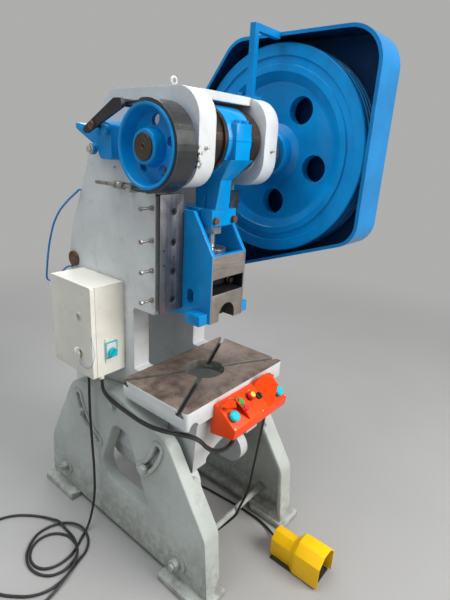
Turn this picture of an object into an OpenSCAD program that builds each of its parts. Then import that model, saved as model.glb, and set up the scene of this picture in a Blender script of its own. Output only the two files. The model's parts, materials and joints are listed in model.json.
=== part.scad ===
// Inclinable open-back eccentric press on two cast legs, with flywheel, band brake and adjustable ram.
// X runs to the flywheel side, -Y is the operator's side and Z is up from the floor.
// The origin lies on the floor in the middle of the four anchor holes, and the ram is at the top of its stroke.

/* [Crankshaft and ram] */
// Height of the crankshaft axis above the floor
shaft_z = 1540; // [1450:5:1620]
// Distance of the crankshaft, ram and bed hole in front of the foot centre
shaft_y = 195; // [180:1:210]
// Stroke of the ram
stroke = 60; // [30:2:70]
// Diameter of the crankshaft in its bearings
journal_d = 80; // [70:1:90]
// Wall of the bronze bearing bushes
bush_wall = 12; // [8:1:16]
// Diameter of the eccentric pin
pin_d = 152; // [140:1:160]
// Width of the eccentric pin
pin_w = 122; // [110:1:124]
// Length from the eccentric centre to the ball centre
rod_len = 404; // [385:1:420]
// Outer diameter of the rod's ring
ring_d = 210; // [198:1:216]
// Width of the rod's ring
ring_w = 116; // [100:1:118]
// Diameter of the ball of the adjusting screw
ball_d = 56; // [48:1:60]
// Free room round the ball in its seat
ball_gap = 6.4; // [6:0.1:8]
// Diameter of the adjusting screw
screw_d = 42; // [36:1:46]
// Width of the ram body
ram_w = 180; // [170:1:190]
// Depth of the ram body, front to back
ram_d = 230; // [220:1:236]
// Height of the ram
ram_h = 376; // [350:1:390]
// Diameter of the shank hole in the ram
shank_d = 40; // [30:1:45]
// Height of the clamp block that holds the tool shank
clamp_h = 103; // [90:1:110]

/* [Frame] */
// Width over the two cheeks of the frame
frame_w = 392; // [384:1:394]
// Thickness of a cheek
cheek_t = 72; // [66:1:76]
// Height of the head above the crankshaft axis
head_h = 170; // [160:1:190]
// Reach of the head in front of the crankshaft axis
head_front = 110; // [100:1:125]
// Height of the lower edge of the posts below the crankshaft axis
post_drop = 552; // [540:1:560]
// Thickness of the cross walls
wall_t = 26; // [20:1:32]
// Length of the gibs
gib_h = 400; // [380:1:420]
// Height from the ram's lower face to the lower end of the gibs
gib_rise = 28; // [15:1:40]
// Play between ram and gibs
gib_play = 0.6; // [0.4:0.1:1]
// Diameter of the gib cap screws' heads
cap_screw_d = 24; // [18:1:26]

/* [Bed] */
// Height of the bed's top face
bed_top = 740; // [725:1:780]
// Thickness of the bed over its rim
bed_h = 68; // [60:1:76]
// Width of the bed
bed_w = 550; // [500:5:580]
// Depth of the bed, front to back
bed_d = 330; // [320:1:340]
// Diameter of the hole in the bed
bed_hole_d = 150; // [120:1:170]
// Width of the T-slots at the top face
slot_w = 18; // [14:1:22]
// Angle of the T-slots to the bed's long side
slot_angle = 27; // [22:1:30]

/* [Legs] */
// Width over the outer faces of the leg webs
leg_w = 550; // [540:2:600]
// Thickness of a leg's web
web_t = 18; // [12:1:24]
// Depth of a leg's flange, towards the frame
flange_d = 75; // [60:1:76]
// Thickness of a leg's flange
rim_t = 20; // [14:1:26]
// Height of the incline pivot above the floor
pivot_z = 607; // [590:1:610]
// Incline pivot behind the foot centre
pivot_y = 20; // [10:1:30]
// Diameter of the incline pivot pins
pivot_d = 40; // [30:1:44]
// Radius of the front lock slot about the pivot
front_lock_r = 264; // [255:1:270]
// Radius of the rear lock slot about the pivot
rear_lock_r = 238; // [230:1:245]
// Diameter of the lock bolts
lock_d = 20; // [16:1:22]
// Thickness of the feet
foot_t = 28; // [22:1:34]
// Anchor holes to the left and right of the centre
anchor_x = 230; // [225:1:240]
// Anchor holes in front of and behind the centre
anchor_y = 400; // [380:1:420]
// Diameter of the anchor holes
anchor_d = 22; // [16:1:26]
// Diameter of the tie rods between the legs
tie_d = 25; // [20:1:30]

/* [Flywheel and drive] */
// Diameter of the flywheel
fly_d = 748; // [700:1:760]
// Width of the flywheel's rim
fly_w = 110; // [100:1:114]
// Inner face of the flywheel's rim from the middle of the press
fly_x = 326; // [322:1:332]
// Diameter of the shaft in the flywheel
fly_shaft_d = 70; // [60:1:76]
// Number of holes in the flywheel's web
fly_holes = 5; // [3:1:6]
// Diameter of the holes in the flywheel's web
fly_hole_d = 96; // [80:1:104]
// Diameter of the motor pulley
pulley_d = 124; // [110:1:140]
// Diameter of the motor
motor_d = 160; // [150:1:170]
// Motor axis behind the foot centre
motor_y = 530; // [525:1:540]
// Height of the motor axis
motor_z = 1180; // [1165:1:1200]
// Number of V-belts
belts = 3; // [2:1:3]
// Thickness of the guard's sheet
sheet_t = 3; // [2:0.5:4]
// Depth of the flywheel guard
guard_depth = 152; // [150:1:170]

/* [Brake] */
// Diameter of the brake drum
drum_d = 234; // [220:1:240]
// Width of the brake drum
drum_w = 86; // [80:1:92]
// Thickness of the brake band with its lining
band_t = 10; // [7:1:12]
// Width of the brake band
band_w = 75; // [60:1:78]

/* [Electric box] */
// Width of the box along the frame
box_w = 250; // [220:1:260]
// Height of the box
box_h = 346; // [320:1:370]
// Depth of the box without its door
box_t = 127; // [115:1:130]
// Thickness of the door
door_t = 18; // [14:1:22]
// Wall of the box
box_wall = 4; // [3:0.5:6]
// Diameter of the main switch knob
knob_d = 34; // [28:1:38]

/* [Operator station] */
// Left end of the station from the middle of the press
station_left = 145; // [140:1:150]
// Right end of the station from the middle of the press
station_right = 175; // [165:1:180]
// Diameter of the two palm buttons
palm_d = 38; // [32:1:42]
// Diameter of the small push buttons
push_d = 22; // [18:1:24]

/* [Foot switch] */
// Width of the foot switch's front hood
hood_w = 121; // [115:1:126]
// Height of the front hood
hood_h = 140; // [125:1:150]
// Wall of the hood
hood_wall = 4; // [3:0.5:5]
// Diameter of the pedal's pin
pedal_pin_d = 8; // [6:0.5:10]
// Diameter of the cord gland at the foot switch
foot_gland_d = 20; // [16:1:24]

/* [Cords] */
// Diameter of the mains cord
mains_d = 10; // [8:0.5:12]
// Diameter of the two leads between box and station
lead_d = 9; // [8:0.5:10]
// Diameter of the pedal's cord
pedal_cord_d = 10; // [8:0.5:11]
// Diameter of the lubrication hose
hose_d = 8; // [5:0.5:8]

/* [Hidden] */
$fn = 64;
e = 0.01;

// Axes of the crankshaft, the eccentric at the top of its turn and the ball
ay = -shaft_y;
az = shaft_z;
ecc_z = az + stroke / 2;
ball_z = ecc_z - rod_len;

// Frame planes
out_x = frame_w / 2;
in_x = out_x - cheek_t;
head_z = az + head_h;
head_y = ay - head_front;
post_z = az - post_drop;
ear_z = az - 112;
post_y = ay + 67;
throat_y = ay + 183;
shelf_z = bed_top - bed_h;
shelf_front = ay - 150;
bed_front = ay - 175;
shelf_back = bed_front + bed_d + 0.3;
rear_y = pivot_y + 365;
boss_in = 6;
bush_od = journal_d + 2 * bush_wall;
fit = 0.03;
frame_outline = [
    [shelf_front + 16, bed_top - 299, 14],
    [ay - 5, pivot_z - 235, 60],
    [pivot_y + 40, pivot_z - 257, 60],
    [pivot_y + 250, pivot_z - 187, 90],
    [rear_y, pivot_z - 87, 60],
    [rear_y, az - 430, 40],
    [rear_y - 35, az - 300, 60],
    [ay + 495, az - 205, 60],
    [ay + 421, az - 39, 200],
    [ay + 296, head_z, 90],
    [head_y, head_z, 90],
    [head_y, ear_z, 105],
    [post_y, ear_z, 14],
    [post_y, post_z, 12],
    [throat_y, post_z, 14],
    [throat_y, bed_top, 8],
    [shelf_back, bed_top, 0],
    [shelf_back, shelf_z, 0],
    [shelf_front, shelf_z, 4],
];
keel_outline = [
    [ay - 45, 268, 0],
    [pivot_y + 120, 268, 30],
    [pivot_y + 280, pivot_z - 207, 30],
    [pivot_y + 280, pivot_z - 127, 0],
    [ay - 60, pivot_z - 127, 0],
    [ay - 60, 338, 0],
];

// Legs
leg_x = leg_w / 2;
flange_x = leg_x - flange_d;
foot_in = leg_x - 85;
foot_out = leg_x + 42;
pad_t = 6;
boss_t = 4;
leg_outline = [
    [505, foot_t, 0],
    [487, 250, 120],
    [pivot_y + 270, pivot_z + 5, 110],
    [pivot_y, pivot_z + 50, 200],
    [pivot_y - 295, pivot_z - 22, 110],
    [-470, 284, 90],
    [-492, foot_t, 0],
];
window_outline = [
    [-192, 226, 24],
    [132, 238, 75],
    [pivot_y - 2, pivot_z - 87, 42],
    [pivot_y - 88, pivot_z - 95, 42],
    [pivot_y - 138, pivot_z - 202, 60],
];
window_rim = 14;
front_slot = [195, 230];
rear_slot = [296, 346];
front_bolt = 225;
rear_bolt = 329;
slot_play = 4;
tie_front = [-343, 98];
tie_rear = [385, 119];
washer_d = 2 * lock_d;

// Shaft steps and the brake lever's pin
lever_pin = [ay + 244, az + 52];
drum_x1 = -(out_x + 17);
drum_x0 = drum_x1 - drum_w;
drum_shaft_d = journal_d - 6;
clutch_d = journal_d - 4;
shaft_x1 = fly_x + fly_w + 12;
hub_x0 = fly_x - 30;

// Ram and gibs
ram_z = ball_z - 194;
ram_x = ram_w / 2;
ram_y0 = ay - 90;
ram_y1 = ram_y0 + ram_d;
ridge = 22;
ridge_y = ay + 92;
pocket_z = ball_z + 12;
wall_x = 16;
lip_z = pocket_z + 33;
gib_z = ram_z + gib_rise;
gib_out = out_x + 2;
guide_top = max(ear_z, gib_z + gib_h + 0.3);
gib_in = ram_x + gib_play;
gib_back = ram_y1 - 3;
recess_x = in_x + 28;
cap_screw_x = recess_x - 14;
cap_screws = [43, 143, 243, 344];
adjusters = [43, 148, 250, 355];
adjuster_y = (post_y + gib_back) / 2 - 20;
collar_d = 108;
collar_h = 40;
neck_d = 30;

// Flywheel and belts
fly_r = fly_d / 2;
groove_pitch = 25;
belt_x = fly_x + fly_w / 2;
belt_h = 8;
groove_h = 12;
motor_x0 = 30;
motor_x1 = 230;
hinge_y = rear_y - 35;
hinge_z = az - 442;

// Flywheel guard
guard_x0 = fly_x - 26;
guard_x1 = guard_x0 + guard_depth;
lip = 12;
guard_outline = [
    [ay - 397, az + 400, 120],
    [ay - 397, az - 280, 90],
    [ay + 135, az - 472, 300],
    [motor_y + 120, motor_z - 140, 110],
    [motor_y + 120, motor_z + 120, 110],
    [ay + 372, az + 172, 120],
    [ay + 192, az + 397, 110],
];
strut_a = 22;
strut_x = out_x - 31;
strut_y = ay - 5;

// Electric box: its frame side lies on the cheek
box_y0 = 40;
box_y1 = box_y0 + box_w;
box_z0 = 728;
box_z1 = box_z0 + box_h;
box_x1 = -out_x;
box_x0 = box_x1 - box_t;
door_x0 = box_x0 - door_t;
hinge_d = 10;
gland_d = 20;
gland_h = 14;
switch_z = box_z0 + 89;
switch_x = box_x0 + 61;
lock_ys = box_y0 + 72;
lock_zs = [box_z0 + 92, box_z0 + 227];

// Operator station: slope of the button face in the Y-Z plane
slope_top = [ay - 197, bed_top - 18];
slope_end = [ay - 273, bed_top - 80];
slope_angle = atan2(slope_top[1] - slope_end[1], slope_top[0] - slope_end[0]);
station_outline = [
    [bed_front, bed_top - 136, 0],
    [bed_front - 10, bed_top - 138, 0],
    [slope_end[0] + 5, bed_top - 118, 6],
    [slope_end[0], slope_end[1], 8],
    [slope_top[0], slope_top[1], 8],
    [bed_front, slope_top[1], 0],
];
palm_left = [-118, 55];
palm_right = [138, 66];
green_at = [-50, 24];
red_at = [-44, 52];
stop_at = [4, 26];
selector_at = [44, 40];
button_play = 0.3;

// Foot switch on the floor
foot_x = 105;
foot_front = -757;
foot_back = -535;
rear_hood_w = 87;
rear_hood_h = 110;
pedal_y = -600;
pedal_z = 52;
gland_x = foot_x + 32;
gland_z = 16;

// Cord routes, by hand
mains_route = [
    [-308, 118, 714], [-308, 119, 690], [-308, 121, 650], [-308, 123, 600], [-308, 124, 540],
    [-308, 123, 480], [-308, 120, 420], [-309, 116, 360], [-311, 110, 300], [-314, 106, 240],
    [-318, 103, 180], [-324, 103, 130], [-332, 105, 85], [-344, 105, 45], [-358, 102, 20],
    [-376, 94, 8], [-400, 82, 6], [-430, 62, 6], [-470, 42, 6], [-510, 34, 6], [-550, 40, 6],
    [-582, 62, 6], [-597, 100, 6], [-590, 145, 6], [-562, 180, 6], [-525, 195, 6], [-485, 188, 6],
    [-455, 162, 6], [-437, 125, 6], [-436, 85, 6], [-446, 48, 10], [-466, 18, 14], [-500, 4, 8],
    [-540, 0, 6], [-580, 18, 6], [-606, 60, 6], [-612, 110, 6], [-596, 160, 6], [-560, 200, 6],
    [-515, 224, 6], [-470, 224, 6], [-428, 206, 8], [-398, 170, 14], [-382, 125, 18], [-382, 85, 17],
    [-398, 42, 12], [-430, 12, 6], [-470, -4, 6], [-520, -22, 6], [-570, -34, 6], [-620, -30, 6],
    [-665, -6, 6], [-700, 30, 6], [-735, 80, 6], [-756, 140, 6], [-764, 205, 6], [-755, 270, 6],
    [-730, 335, 6], [-690, 385, 6], [-640, 412, 6], [-585, 410, 6], [-535, 385, 6], [-495, 345, 6],
    [-462, 300, 6], [-438, 245, 12], [-428, 205, 18], [-425, 160, 8], [-427, 110, 8], [-438, 70, 14],
    [-458, 28, 22], [-480, 0, 20], [-520, -24, 14], [-560, -42, 14], [-605, -55, 8], [-655, -63, 6],
    [-715, -67.5, 6],
];
coil_at = [-722, -145];
coil_mid_r = 57;
plug_at = [-690, -238];
pedal_route = [
    [112, -420, 604], [111, -418, 580], [109, -414, 540], [106, -410, 490], [101, -406, 430],
    [96, -402, 370], [92, -397, 310], [92, -391, 255], [92, -383, 205], [82, -373, 160],
    [69, -364, 122], [56, -361, 94], [40, -348, 70], [20, -333, 48], [-6, -318, 29],
    [-34, -302, 14], [-64, -284, 6], [-92, -258, 6], [-109, -222, 6], [-108, -180, 6],
    [-88, -140, 6], [-52, -112, 6], [-10, -96, 6], [35, -80, 6], [75, -64, 6], [112, -58, 6],
    [140, -72, 6], [152, -104, 6], [157, -145, 6], [161, -190, 6], [166, -240, 6], [170, -290, 6],
    [172, -340, 6], [171, -390, 6], [166, -430, 6], [158, -460, 7], [147, -485, 11], [140, -500, 14.5],
    [137, -511, 16], [137, -521, 16],
];
lead_route = [
    [-288, 62, 714], [-288, 62, 690], [-288, 56, 664], [-288, 36, 648], [-288, 0, 638],
    [-288, -45, 633], [-288, -95, 629], [-288, -150, 627], [-287, -200, 629], [-283, -250, 636],
    [-274, -300, 645], [-262, -345, 652], [-250, -376, 652], [-236, -394, 640], [-215, -404, 611],
    [-192, -410, 588], [-165, -413, 571], [-135, -415, 561], [-108, -417, 562], [-90, -419, 574],
    [-84, -420, 592], [-84, -420, 608],
];
lead_step = [-9.5, -9.5, 0];
glands = [
    [mains_route[0][0], mains_route[0][1], mains_d + 0.6],
    [lead_route[0][0], lead_route[0][1], lead_d + 0.6],
    [lead_route[0][0] + lead_step[0], lead_route[0][1] + lead_step[1], lead_d + 0.6],
];
hose_route = [
    [-196.4, 286, 1372], [-203, 287, 1372], [-206, 300, 1361], [-207, 335, 1340], [-208, 370, 1316],
    [-212, 415, 1278], [-218, 455, 1222], [-226, 480, 1150], [-233, 492, 1085], [-235, 503, 1030],
    [-231, 518, 994], [-225, 524, 976], [-219, 512, 972], [-213, 478, 988], [-210, 440, 1018],
    [-209, 408, 1044], [-208, 385, 1058], [-203, 371, 1062], [-196.4, 370, 1062],
];

// Paint and metal colours
grey_leg = [0.68, 0.72, 0.69];
grey_frame = [0.75, 0.76, 0.75];
blue = [0.05, 0.5, 0.85];
steel = [0.5, 0.5, 0.52];
dark = [0.12, 0.12, 0.13];
bronze = [0.55, 0.42, 0.2];
beige = [0.82, 0.81, 0.78];
orange = [0.95, 0.33, 0.12];
yellow = [0.98, 0.74, 0.12];
cyan = [0.15, 0.8, 0.82];

// Outline helpers: a corner is [across, up, radius], and outlines run counter-clockwise
function unit(v) = v / norm(v);
function flat(p) = [p[0], p[1]];
function turn(a) = (a + 540) % 360 - 180;
function left_of(v) = [-v[1], v[0]];
function corner_arc(p, q, s, r, n) =
    let (a = unit(p - q), b = unit(s - q))
    let (half = acos(max(-0.9999, min(0.9999, a * b))) / 2)
    let (room = 0.49 * min(norm(p - q), norm(s - q)))
    let (rr = min(r, room * tan(half)))
    let (c = q + unit(a + b) * rr / sin(half))
    let (start = q + a * rr / tan(half) - c, stop = q + b * rr / tan(half) - c)
    let (a0 = atan2(start[1], start[0]), da = turn(atan2(stop[1], stop[0]) - a0))
    [for (i = [0 : n]) c + rr * [cos(a0 + da * i / n), sin(a0 + da * i / n)]];
function rounded(pts, n = 5) =
    let (m = len(pts))
    [for (i = [0 : m - 1]) each pts[i][2] > 0
        ? corner_arc(flat(pts[(i + m - 1) % m]), flat(pts[i]), flat(pts[(i + 1) % m]), pts[i][2], n)
        : [flat(pts[i])]];
function inset(pts, d) =
    let (m = len(pts))
    [for (i = [0 : m - 1])
        let (p = flat(pts[i]), before = flat(pts[(i + m - 1) % m]), after = flat(pts[(i + 1) % m]))
        let (n1 = left_of(unit(p - before)), n2 = left_of(unit(after - p)))
        let (bend = cross(unit(p - before), unit(after - p)) > 0 ? 1 : -1)
        let (q = p + d * (n1 + n2) / (1 + n1 * n2))
        [q[0], q[1], max(0, pts[i][2] - bend * d)]];
function polar(r, a) = [r * cos(a), r * sin(a)];

// Solid helpers: the 2D shapes are drawn as (Y, Z), (X, Z) or (radius, X)
module along_x(x0, x1) {
    translate([x0, 0, 0]) rotate([90, 0, 90]) linear_extrude(x1 - x0) children();
}
module along_y(y0, y1) {
    translate([0, y1, 0]) rotate([90, 0, 0]) linear_extrude(y1 - y0) children();
}
module block(x0, x1, y0, y1, z0, z1) {
    translate([x0, y0, z0]) cube([x1 - x0, y1 - y0, z1 - z0]);
}
module bar_x(x0, x1, y, z, d) {
    translate([x0, y, z]) rotate([0, 90, 0]) cylinder(h = x1 - x0, d = d);
}
module bar_y(y0, y1, x, z, d) {
    translate([x, y0, z]) rotate([-90, 0, 0]) cylinder(h = y1 - y0, d = d);
}
module bar_z(z0, z1, x, y, d) {
    translate([x, y, z0]) cylinder(h = z1 - z0, d = d);
}
module hex_x(x0, x1, y, z, across) {
    translate([x0, y, z]) rotate([0, 90, 0]) cylinder(h = x1 - x0, d = across / cos(30), $fn = 6);
}
module hex_y(y0, y1, x, z, across) {
    translate([x, y0, z]) rotate([-90, 0, 0]) cylinder(h = y1 - y0, d = across / cos(30), $fn = 6);
}
module hex_z(z0, z1, x, y, across) {
    translate([x, y, z0]) cylinder(h = z1 - z0, d = across / cos(30), $fn = 6);
}
module spun(profile, y, z) {
    translate([0, y, z]) rotate([0, 90, 0]) rotate_extrude($fn = 96) polygon(profile);
}
module both_sides() {
    children();
    mirror([1, 0, 0]) children();
}
module arc_band(r, a0, a1, w) {
    n = 10;
    step = (a1 - a0) / n;
    half = w / 2 - 0.3;
    outer = [for (i = [0 : n]) polar(r + half, a0 + i * step)];
    inner = [for (i = [n : -1 : 0]) polar(r - half, a0 + i * step)];
    polygon(concat(outer, inner));
    for (a = [a0, a1]) translate(polar(r, a)) circle(d = w);
}

// A cord's tube: one ring of points across the route at each of its points
function route_dir(route, i) =
    unit(route[min(i + 1, len(route) - 1)] - route[max(i - 1, 0)]);
function ring_at(p, dir, r, sides) =
    let (level = abs(dir[2]) > 0.9 ? [0, 1, 0] : [0, 0, 1])
    let (u = unit(cross(dir, level)), v = cross(u, dir))
    [for (k = [0 : sides - 1]) p + r * (cos(360 * k / sides) * u + sin(360 * k / sides) * v)];
module tube(route, d, sides = 8) {
    n = len(route);
    rings = [for (i = [0 : n - 1]) each ring_at(route[i], route_dir(route, i), d / 2, sides)];
    walls = [for (i = [0 : n - 2], k = [0 : sides - 1])
        let (a = i * sides + k, b = i * sides + (k + 1) % sides)
        [a, b, b + sides, a + sides]];
    first = [for (k = [sides - 1 : -1 : 0]) k];
    last = [for (k = [0 : sides - 1]) (n - 1) * sides + k];
    polyhedron(rings, concat([first], walls, [last]), convexity = 8);
}

// Legs and the rods between them
module pivot_2d() {
    translate([pivot_y, pivot_z]) children();
}
module lock_slots(w) {
    pivot_2d() {
        arc_band(front_lock_r, front_slot[0], front_slot[1], w);
        arc_band(rear_lock_r, rear_slot[0], rear_slot[1], w);
    }
}
module leg() {
    color(grey_leg) difference() {
        union() {
            along_x(leg_x - web_t, leg_x) difference() {
                polygon(rounded(concat(leg_outline, [[-282, 26, 0], [288, 26, 0]])));
                polygon(rounded(window_outline));
            }
            along_x(flange_x, leg_x - web_t + e) difference() {
                polygon(rounded(leg_outline));
                polygon(rounded(inset(leg_outline, rim_t)));
            }
            along_x(leg_x - 55, leg_x - web_t + e) difference() {
                polygon(rounded(inset(window_outline, -window_rim)));
                polygon(rounded(window_outline));
            }
            along_x(leg_x - e, leg_x + pad_t) lock_slots(lock_d + 38);
            for (t = [tie_front, tie_rear]) bar_x(leg_x - e, leg_x + boss_t, t[0], t[1], 88);
            linear_extrude(foot_t) {
                polygon([
                    [foot_in, -510], [foot_out, -510], [foot_out, -282], [foot_in + 60, -282],
                    [foot_in, -338],
                ]);
                polygon([
                    [foot_out, 508], [foot_in, 508], [foot_in, 344], [foot_in + 60, 288],
                    [foot_out, 288],
                ]);
            }
        }
        along_x(leg_x - web_t - 1, leg_x + pad_t + 1) lock_slots(lock_d + slot_play);
        bar_x(leg_x - web_t - 1, leg_x + 1, pivot_y, pivot_z, pivot_d + 2 * fit);
        bar_x(flange_x - 1, leg_x - web_t, pivot_y, pivot_z, pivot_d + 39);
        for (y = [-anchor_y, anchor_y]) {
            bar_z(-1, foot_t + 1, anchor_x, y, anchor_d);
            bar_z(foot_t - 2, foot_t + 1, anchor_x, y, anchor_d + 28);
        }
        for (t = [tie_front, tie_rear]) bar_x(leg_x - web_t - 1, leg_x + boss_t + 1, t[0], t[1], tie_d + 0.6);
        block(flange_x - 1, flange_x + 22, -520, pivot_y - 230, pivot_z - 162, pivot_z + 60);
    }
}
module leg_right() {
    leg();
}
module leg_left() {
    mirror([1, 0, 0]) leg();
}
module tie_rods() {
    color(grey_leg) for (t = [tie_front, tie_rear]) bar_x(-leg_x - 36, leg_x + 36, t[0], t[1], tie_d);
}
module tie_nut(x, t) {
    difference() {
        union() {
            bar_x(x, x + 4, t[0], t[1], tie_d + 21);
            hex_x(x + 4 - e, x + 22, t[0], t[1], tie_d + 12);
        }
        bar_x(x - 1, x + 23, t[0], t[1], tie_d + 0.2);
    }
}
module leg_fasteners() {
    color(steel) both_sides() {
        for (t = [tie_front, tie_rear]) {
            tie_nut(leg_x + boss_t, t);
            mirror([1, 0, 0]) tie_nut(-leg_x + web_t, t);
        }
        bar_x(in_x + 20, leg_x, pivot_y, pivot_z, pivot_d);
        hex_x(leg_x - e, leg_x + 14, pivot_y, pivot_z, pivot_d - 10);
    }
}

// Frame casting
module frame_bosses() {
    for (b = [[front_lock_r, front_bolt], [rear_lock_r, rear_bolt]]) {
        p = [pivot_y, pivot_z] + polar(b[0], b[1]);
        bar_x(out_x - e, leg_x - web_t - 1, p[0], p[1], lock_d + 44);
    }
    bar_x(out_x - e, leg_x - web_t - 1, pivot_y, pivot_z, pivot_d + 36);
}
module frame_bores() {
    for (b = [[front_lock_r, front_bolt], [rear_lock_r, rear_bolt]]) {
        p = [pivot_y, pivot_z] + polar(b[0], b[1]);
        bar_x(out_x - 30, leg_x, p[0], p[1], lock_d);
    }
    bar_x(in_x - 1, leg_x, pivot_y, pivot_z, pivot_d + 2 * fit);
    bar_x(in_x - 20, out_x + 1, ay, az, bush_od);
    for (z = adjusters) bar_x(in_x, out_x + 1, adjuster_y, gib_z + z, 12);
    for (z = cap_screws) bar_y(gib_back, gib_back + 40, cap_screw_x, gib_z + z, 14);
    bar_x(in_x - 1, out_x + 1, hinge_y, hinge_z, 45);
}
module front_wall() {
    difference() {
        along_x(-in_x - e, in_x + e) polygon([
            [shelf_front, shelf_z], [shelf_front + 16, bed_top - 299],
            [shelf_front + 16 + wall_t, bed_top - 299], [shelf_front + wall_t, shelf_z],
        ]);
        bar_y(shelf_front - 1, shelf_front + 60, 0, bed_top - 410, 370);
    }
}
module rear_wall() {
    outline = [
        [rear_y - wall_t - 10, az - 395], [rear_y - 10, az - 395], [rear_y - 35, az - 300],
        [ay + 495, az - 205], [ay + 421, az - 39], [ay + 336, az + 80],
        [ay + 308, az + 80], [ay + 393, az - 45], [ay + 466, az - 210], [rear_y - 61, az - 304],
    ];
    along_x(-in_x - e, in_x + e) polygon(outline);
}
module frame_casting() {
    color(grey_frame) difference() {
        union() {
            both_sides() {
                along_x(in_x, out_x) polygon(rounded(frame_outline, 8));
                along_x(in_x, in_x + 46) polygon(rounded(keel_outline));
                bar_x(in_x, in_x + 46, ay - 45, 338, 140);
                bar_x(in_x - boss_in, in_x + e, ay, az, bush_od + 52);
                frame_bosses();
            }
            front_wall();
            rear_wall();
            block(-in_x - e, in_x + e, ay - 40, ay + 255, head_z - wall_t, head_z);
            block(-in_x - e, in_x + e, ay + 145, ay + 195, az - 530, az - 210);
            block(-in_x - e, in_x + e, rear_y - 30, rear_y, pivot_z - 127, bed_top + 20);
        }
        both_sides() {
            frame_bores();
            block(in_x - 1, recess_x, post_y - 1, gib_back + 0.3, post_z - 1, guide_top);
            block(in_x - 1, gib_out + 1, post_y - 25, post_y - 0.1, gib_z, gib_z + gib_h + 0.3);
            block(in_x - 1, recess_x, gib_back, post_y + 1, post_z - 1, guide_top);
        }
        bar_x(-out_x - 1, -out_x + 30, ay + 272, az - 73, 8);
        bar_z(head_z - 20, head_z + 1, 36 - out_x, ay + 31, 11);
    }
}
module bed_table() {
    half_w = bed_w / 2;
    back_y = bed_front + bed_d;
    rib = out_x + 14;
    color(grey_frame) difference() {
        translate([0, 0, shelf_z]) linear_extrude(bed_h) polygon(rounded([
            [-half_w, bed_front, 12], [half_w, bed_front, 12], [half_w, back_y, 12], [-half_w, back_y, 12],
        ]));
        bar_z(shelf_z - 1, bed_top + 1, 0, ay, bed_hole_d);
        block(14 - in_x, in_x - 14, bed_front + 30, back_y - 30, shelf_z - 1, bed_top - 42);
        both_sides() block(rib, half_w - 30, bed_front + 30, back_y - 30, shelf_z - 1, bed_top - 42);
        for (a = [-slot_angle, slot_angle]) translate([0, ay, 0]) rotate([0, 0, a]) {
            block(-bed_w, bed_w, -slot_w / 2, slot_w / 2, bed_top - 15, bed_top + 1);
            block(-bed_w, bed_w, -slot_w / 2 - 7, slot_w / 2 + 7, bed_top - 26, bed_top - 14);
        }
        bar_y(bed_front - 1, bed_front + 31, -half_w + 35, shelf_z, 40);
    }
}
module lock_bolts() {
    color(steel) both_sides() for (b = [[front_lock_r, front_bolt], [rear_lock_r, rear_bolt]]) {
        p = [pivot_y, pivot_z] + polar(b[0], b[1]);
        x = leg_x + pad_t + 0.3;
        bar_x(out_x - 28, x + e, p[0], p[1], lock_d);
        bar_x(x, x + 4, p[0], p[1], washer_d);
        hex_x(x + 4 - e, x + 17, p[0], p[1], lock_d + 10);
    }
}
module crank_bushes() {
    color(bronze) both_sides() difference() {
        bar_x(in_x - boss_in, out_x, ay, az, bush_od);
        bar_x(in_x - boss_in - 1, out_x + 1, ay, az, journal_d + 2 * fit);
    }
}

// Gibs: V-guides with their screws
module gib() {
    color(steel) difference() {
        union() {
            translate([0, 0, gib_z]) linear_extrude(gib_h - 8) polygon([
                [gib_out, post_y - 24], [gib_in, post_y - 24], [gib_in, ridge_y - ridge],
                [gib_in + ridge, ridge_y], [gib_in, ridge_y + ridge], [gib_in, gib_back],
                [recess_x - 0.3, gib_back], [recess_x - 0.3, post_y - 0.3], [gib_out - 22, post_y - 0.3],
                [gib_out, post_y - 18],
            ]);
            block(gib_in, gib_out, post_y - 24, post_y - 0.3, gib_z + gib_h - 8 - e, gib_z + gib_h);
        }
        for (z = cap_screws) {
            bar_y(post_y - 25, gib_back + 1, cap_screw_x, gib_z + z, 14.6);
            bar_y(post_y - 25, post_y - 10, cap_screw_x, gib_z + z, cap_screw_d + 1);
        }
    }
}
module gib_right() {
    gib();
}
module gib_left() {
    mirror([1, 0, 0]) gib();
}
module gib_screws() {
    color(dark) both_sides() for (z = cap_screws) difference() {
        union() {
            bar_y(post_y - 22, post_y - 10, cap_screw_x, gib_z + z, cap_screw_d);
            bar_y(post_y - 10 - e, gib_back + 38, cap_screw_x, gib_z + z, 14);
        }
        translate([cap_screw_x, post_y - 23, gib_z + z]) rotate([-90, 0, 0])
            cylinder(h = 8, d = 12 / cos(30), $fn = 6);
    }
}
module gib_adjusters() {
    color(bronze) both_sides() for (z = adjusters) {
        bar_x(recess_x + 0.3, out_x + 44, adjuster_y, gib_z + z, 11.9);
        hex_x(out_x + 4, out_x + 14, adjuster_y, gib_z + z, 19);
        hex_x(out_x + 44 - e, out_x + 54, adjuster_y, gib_z + z, 19);
    }
}

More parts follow.
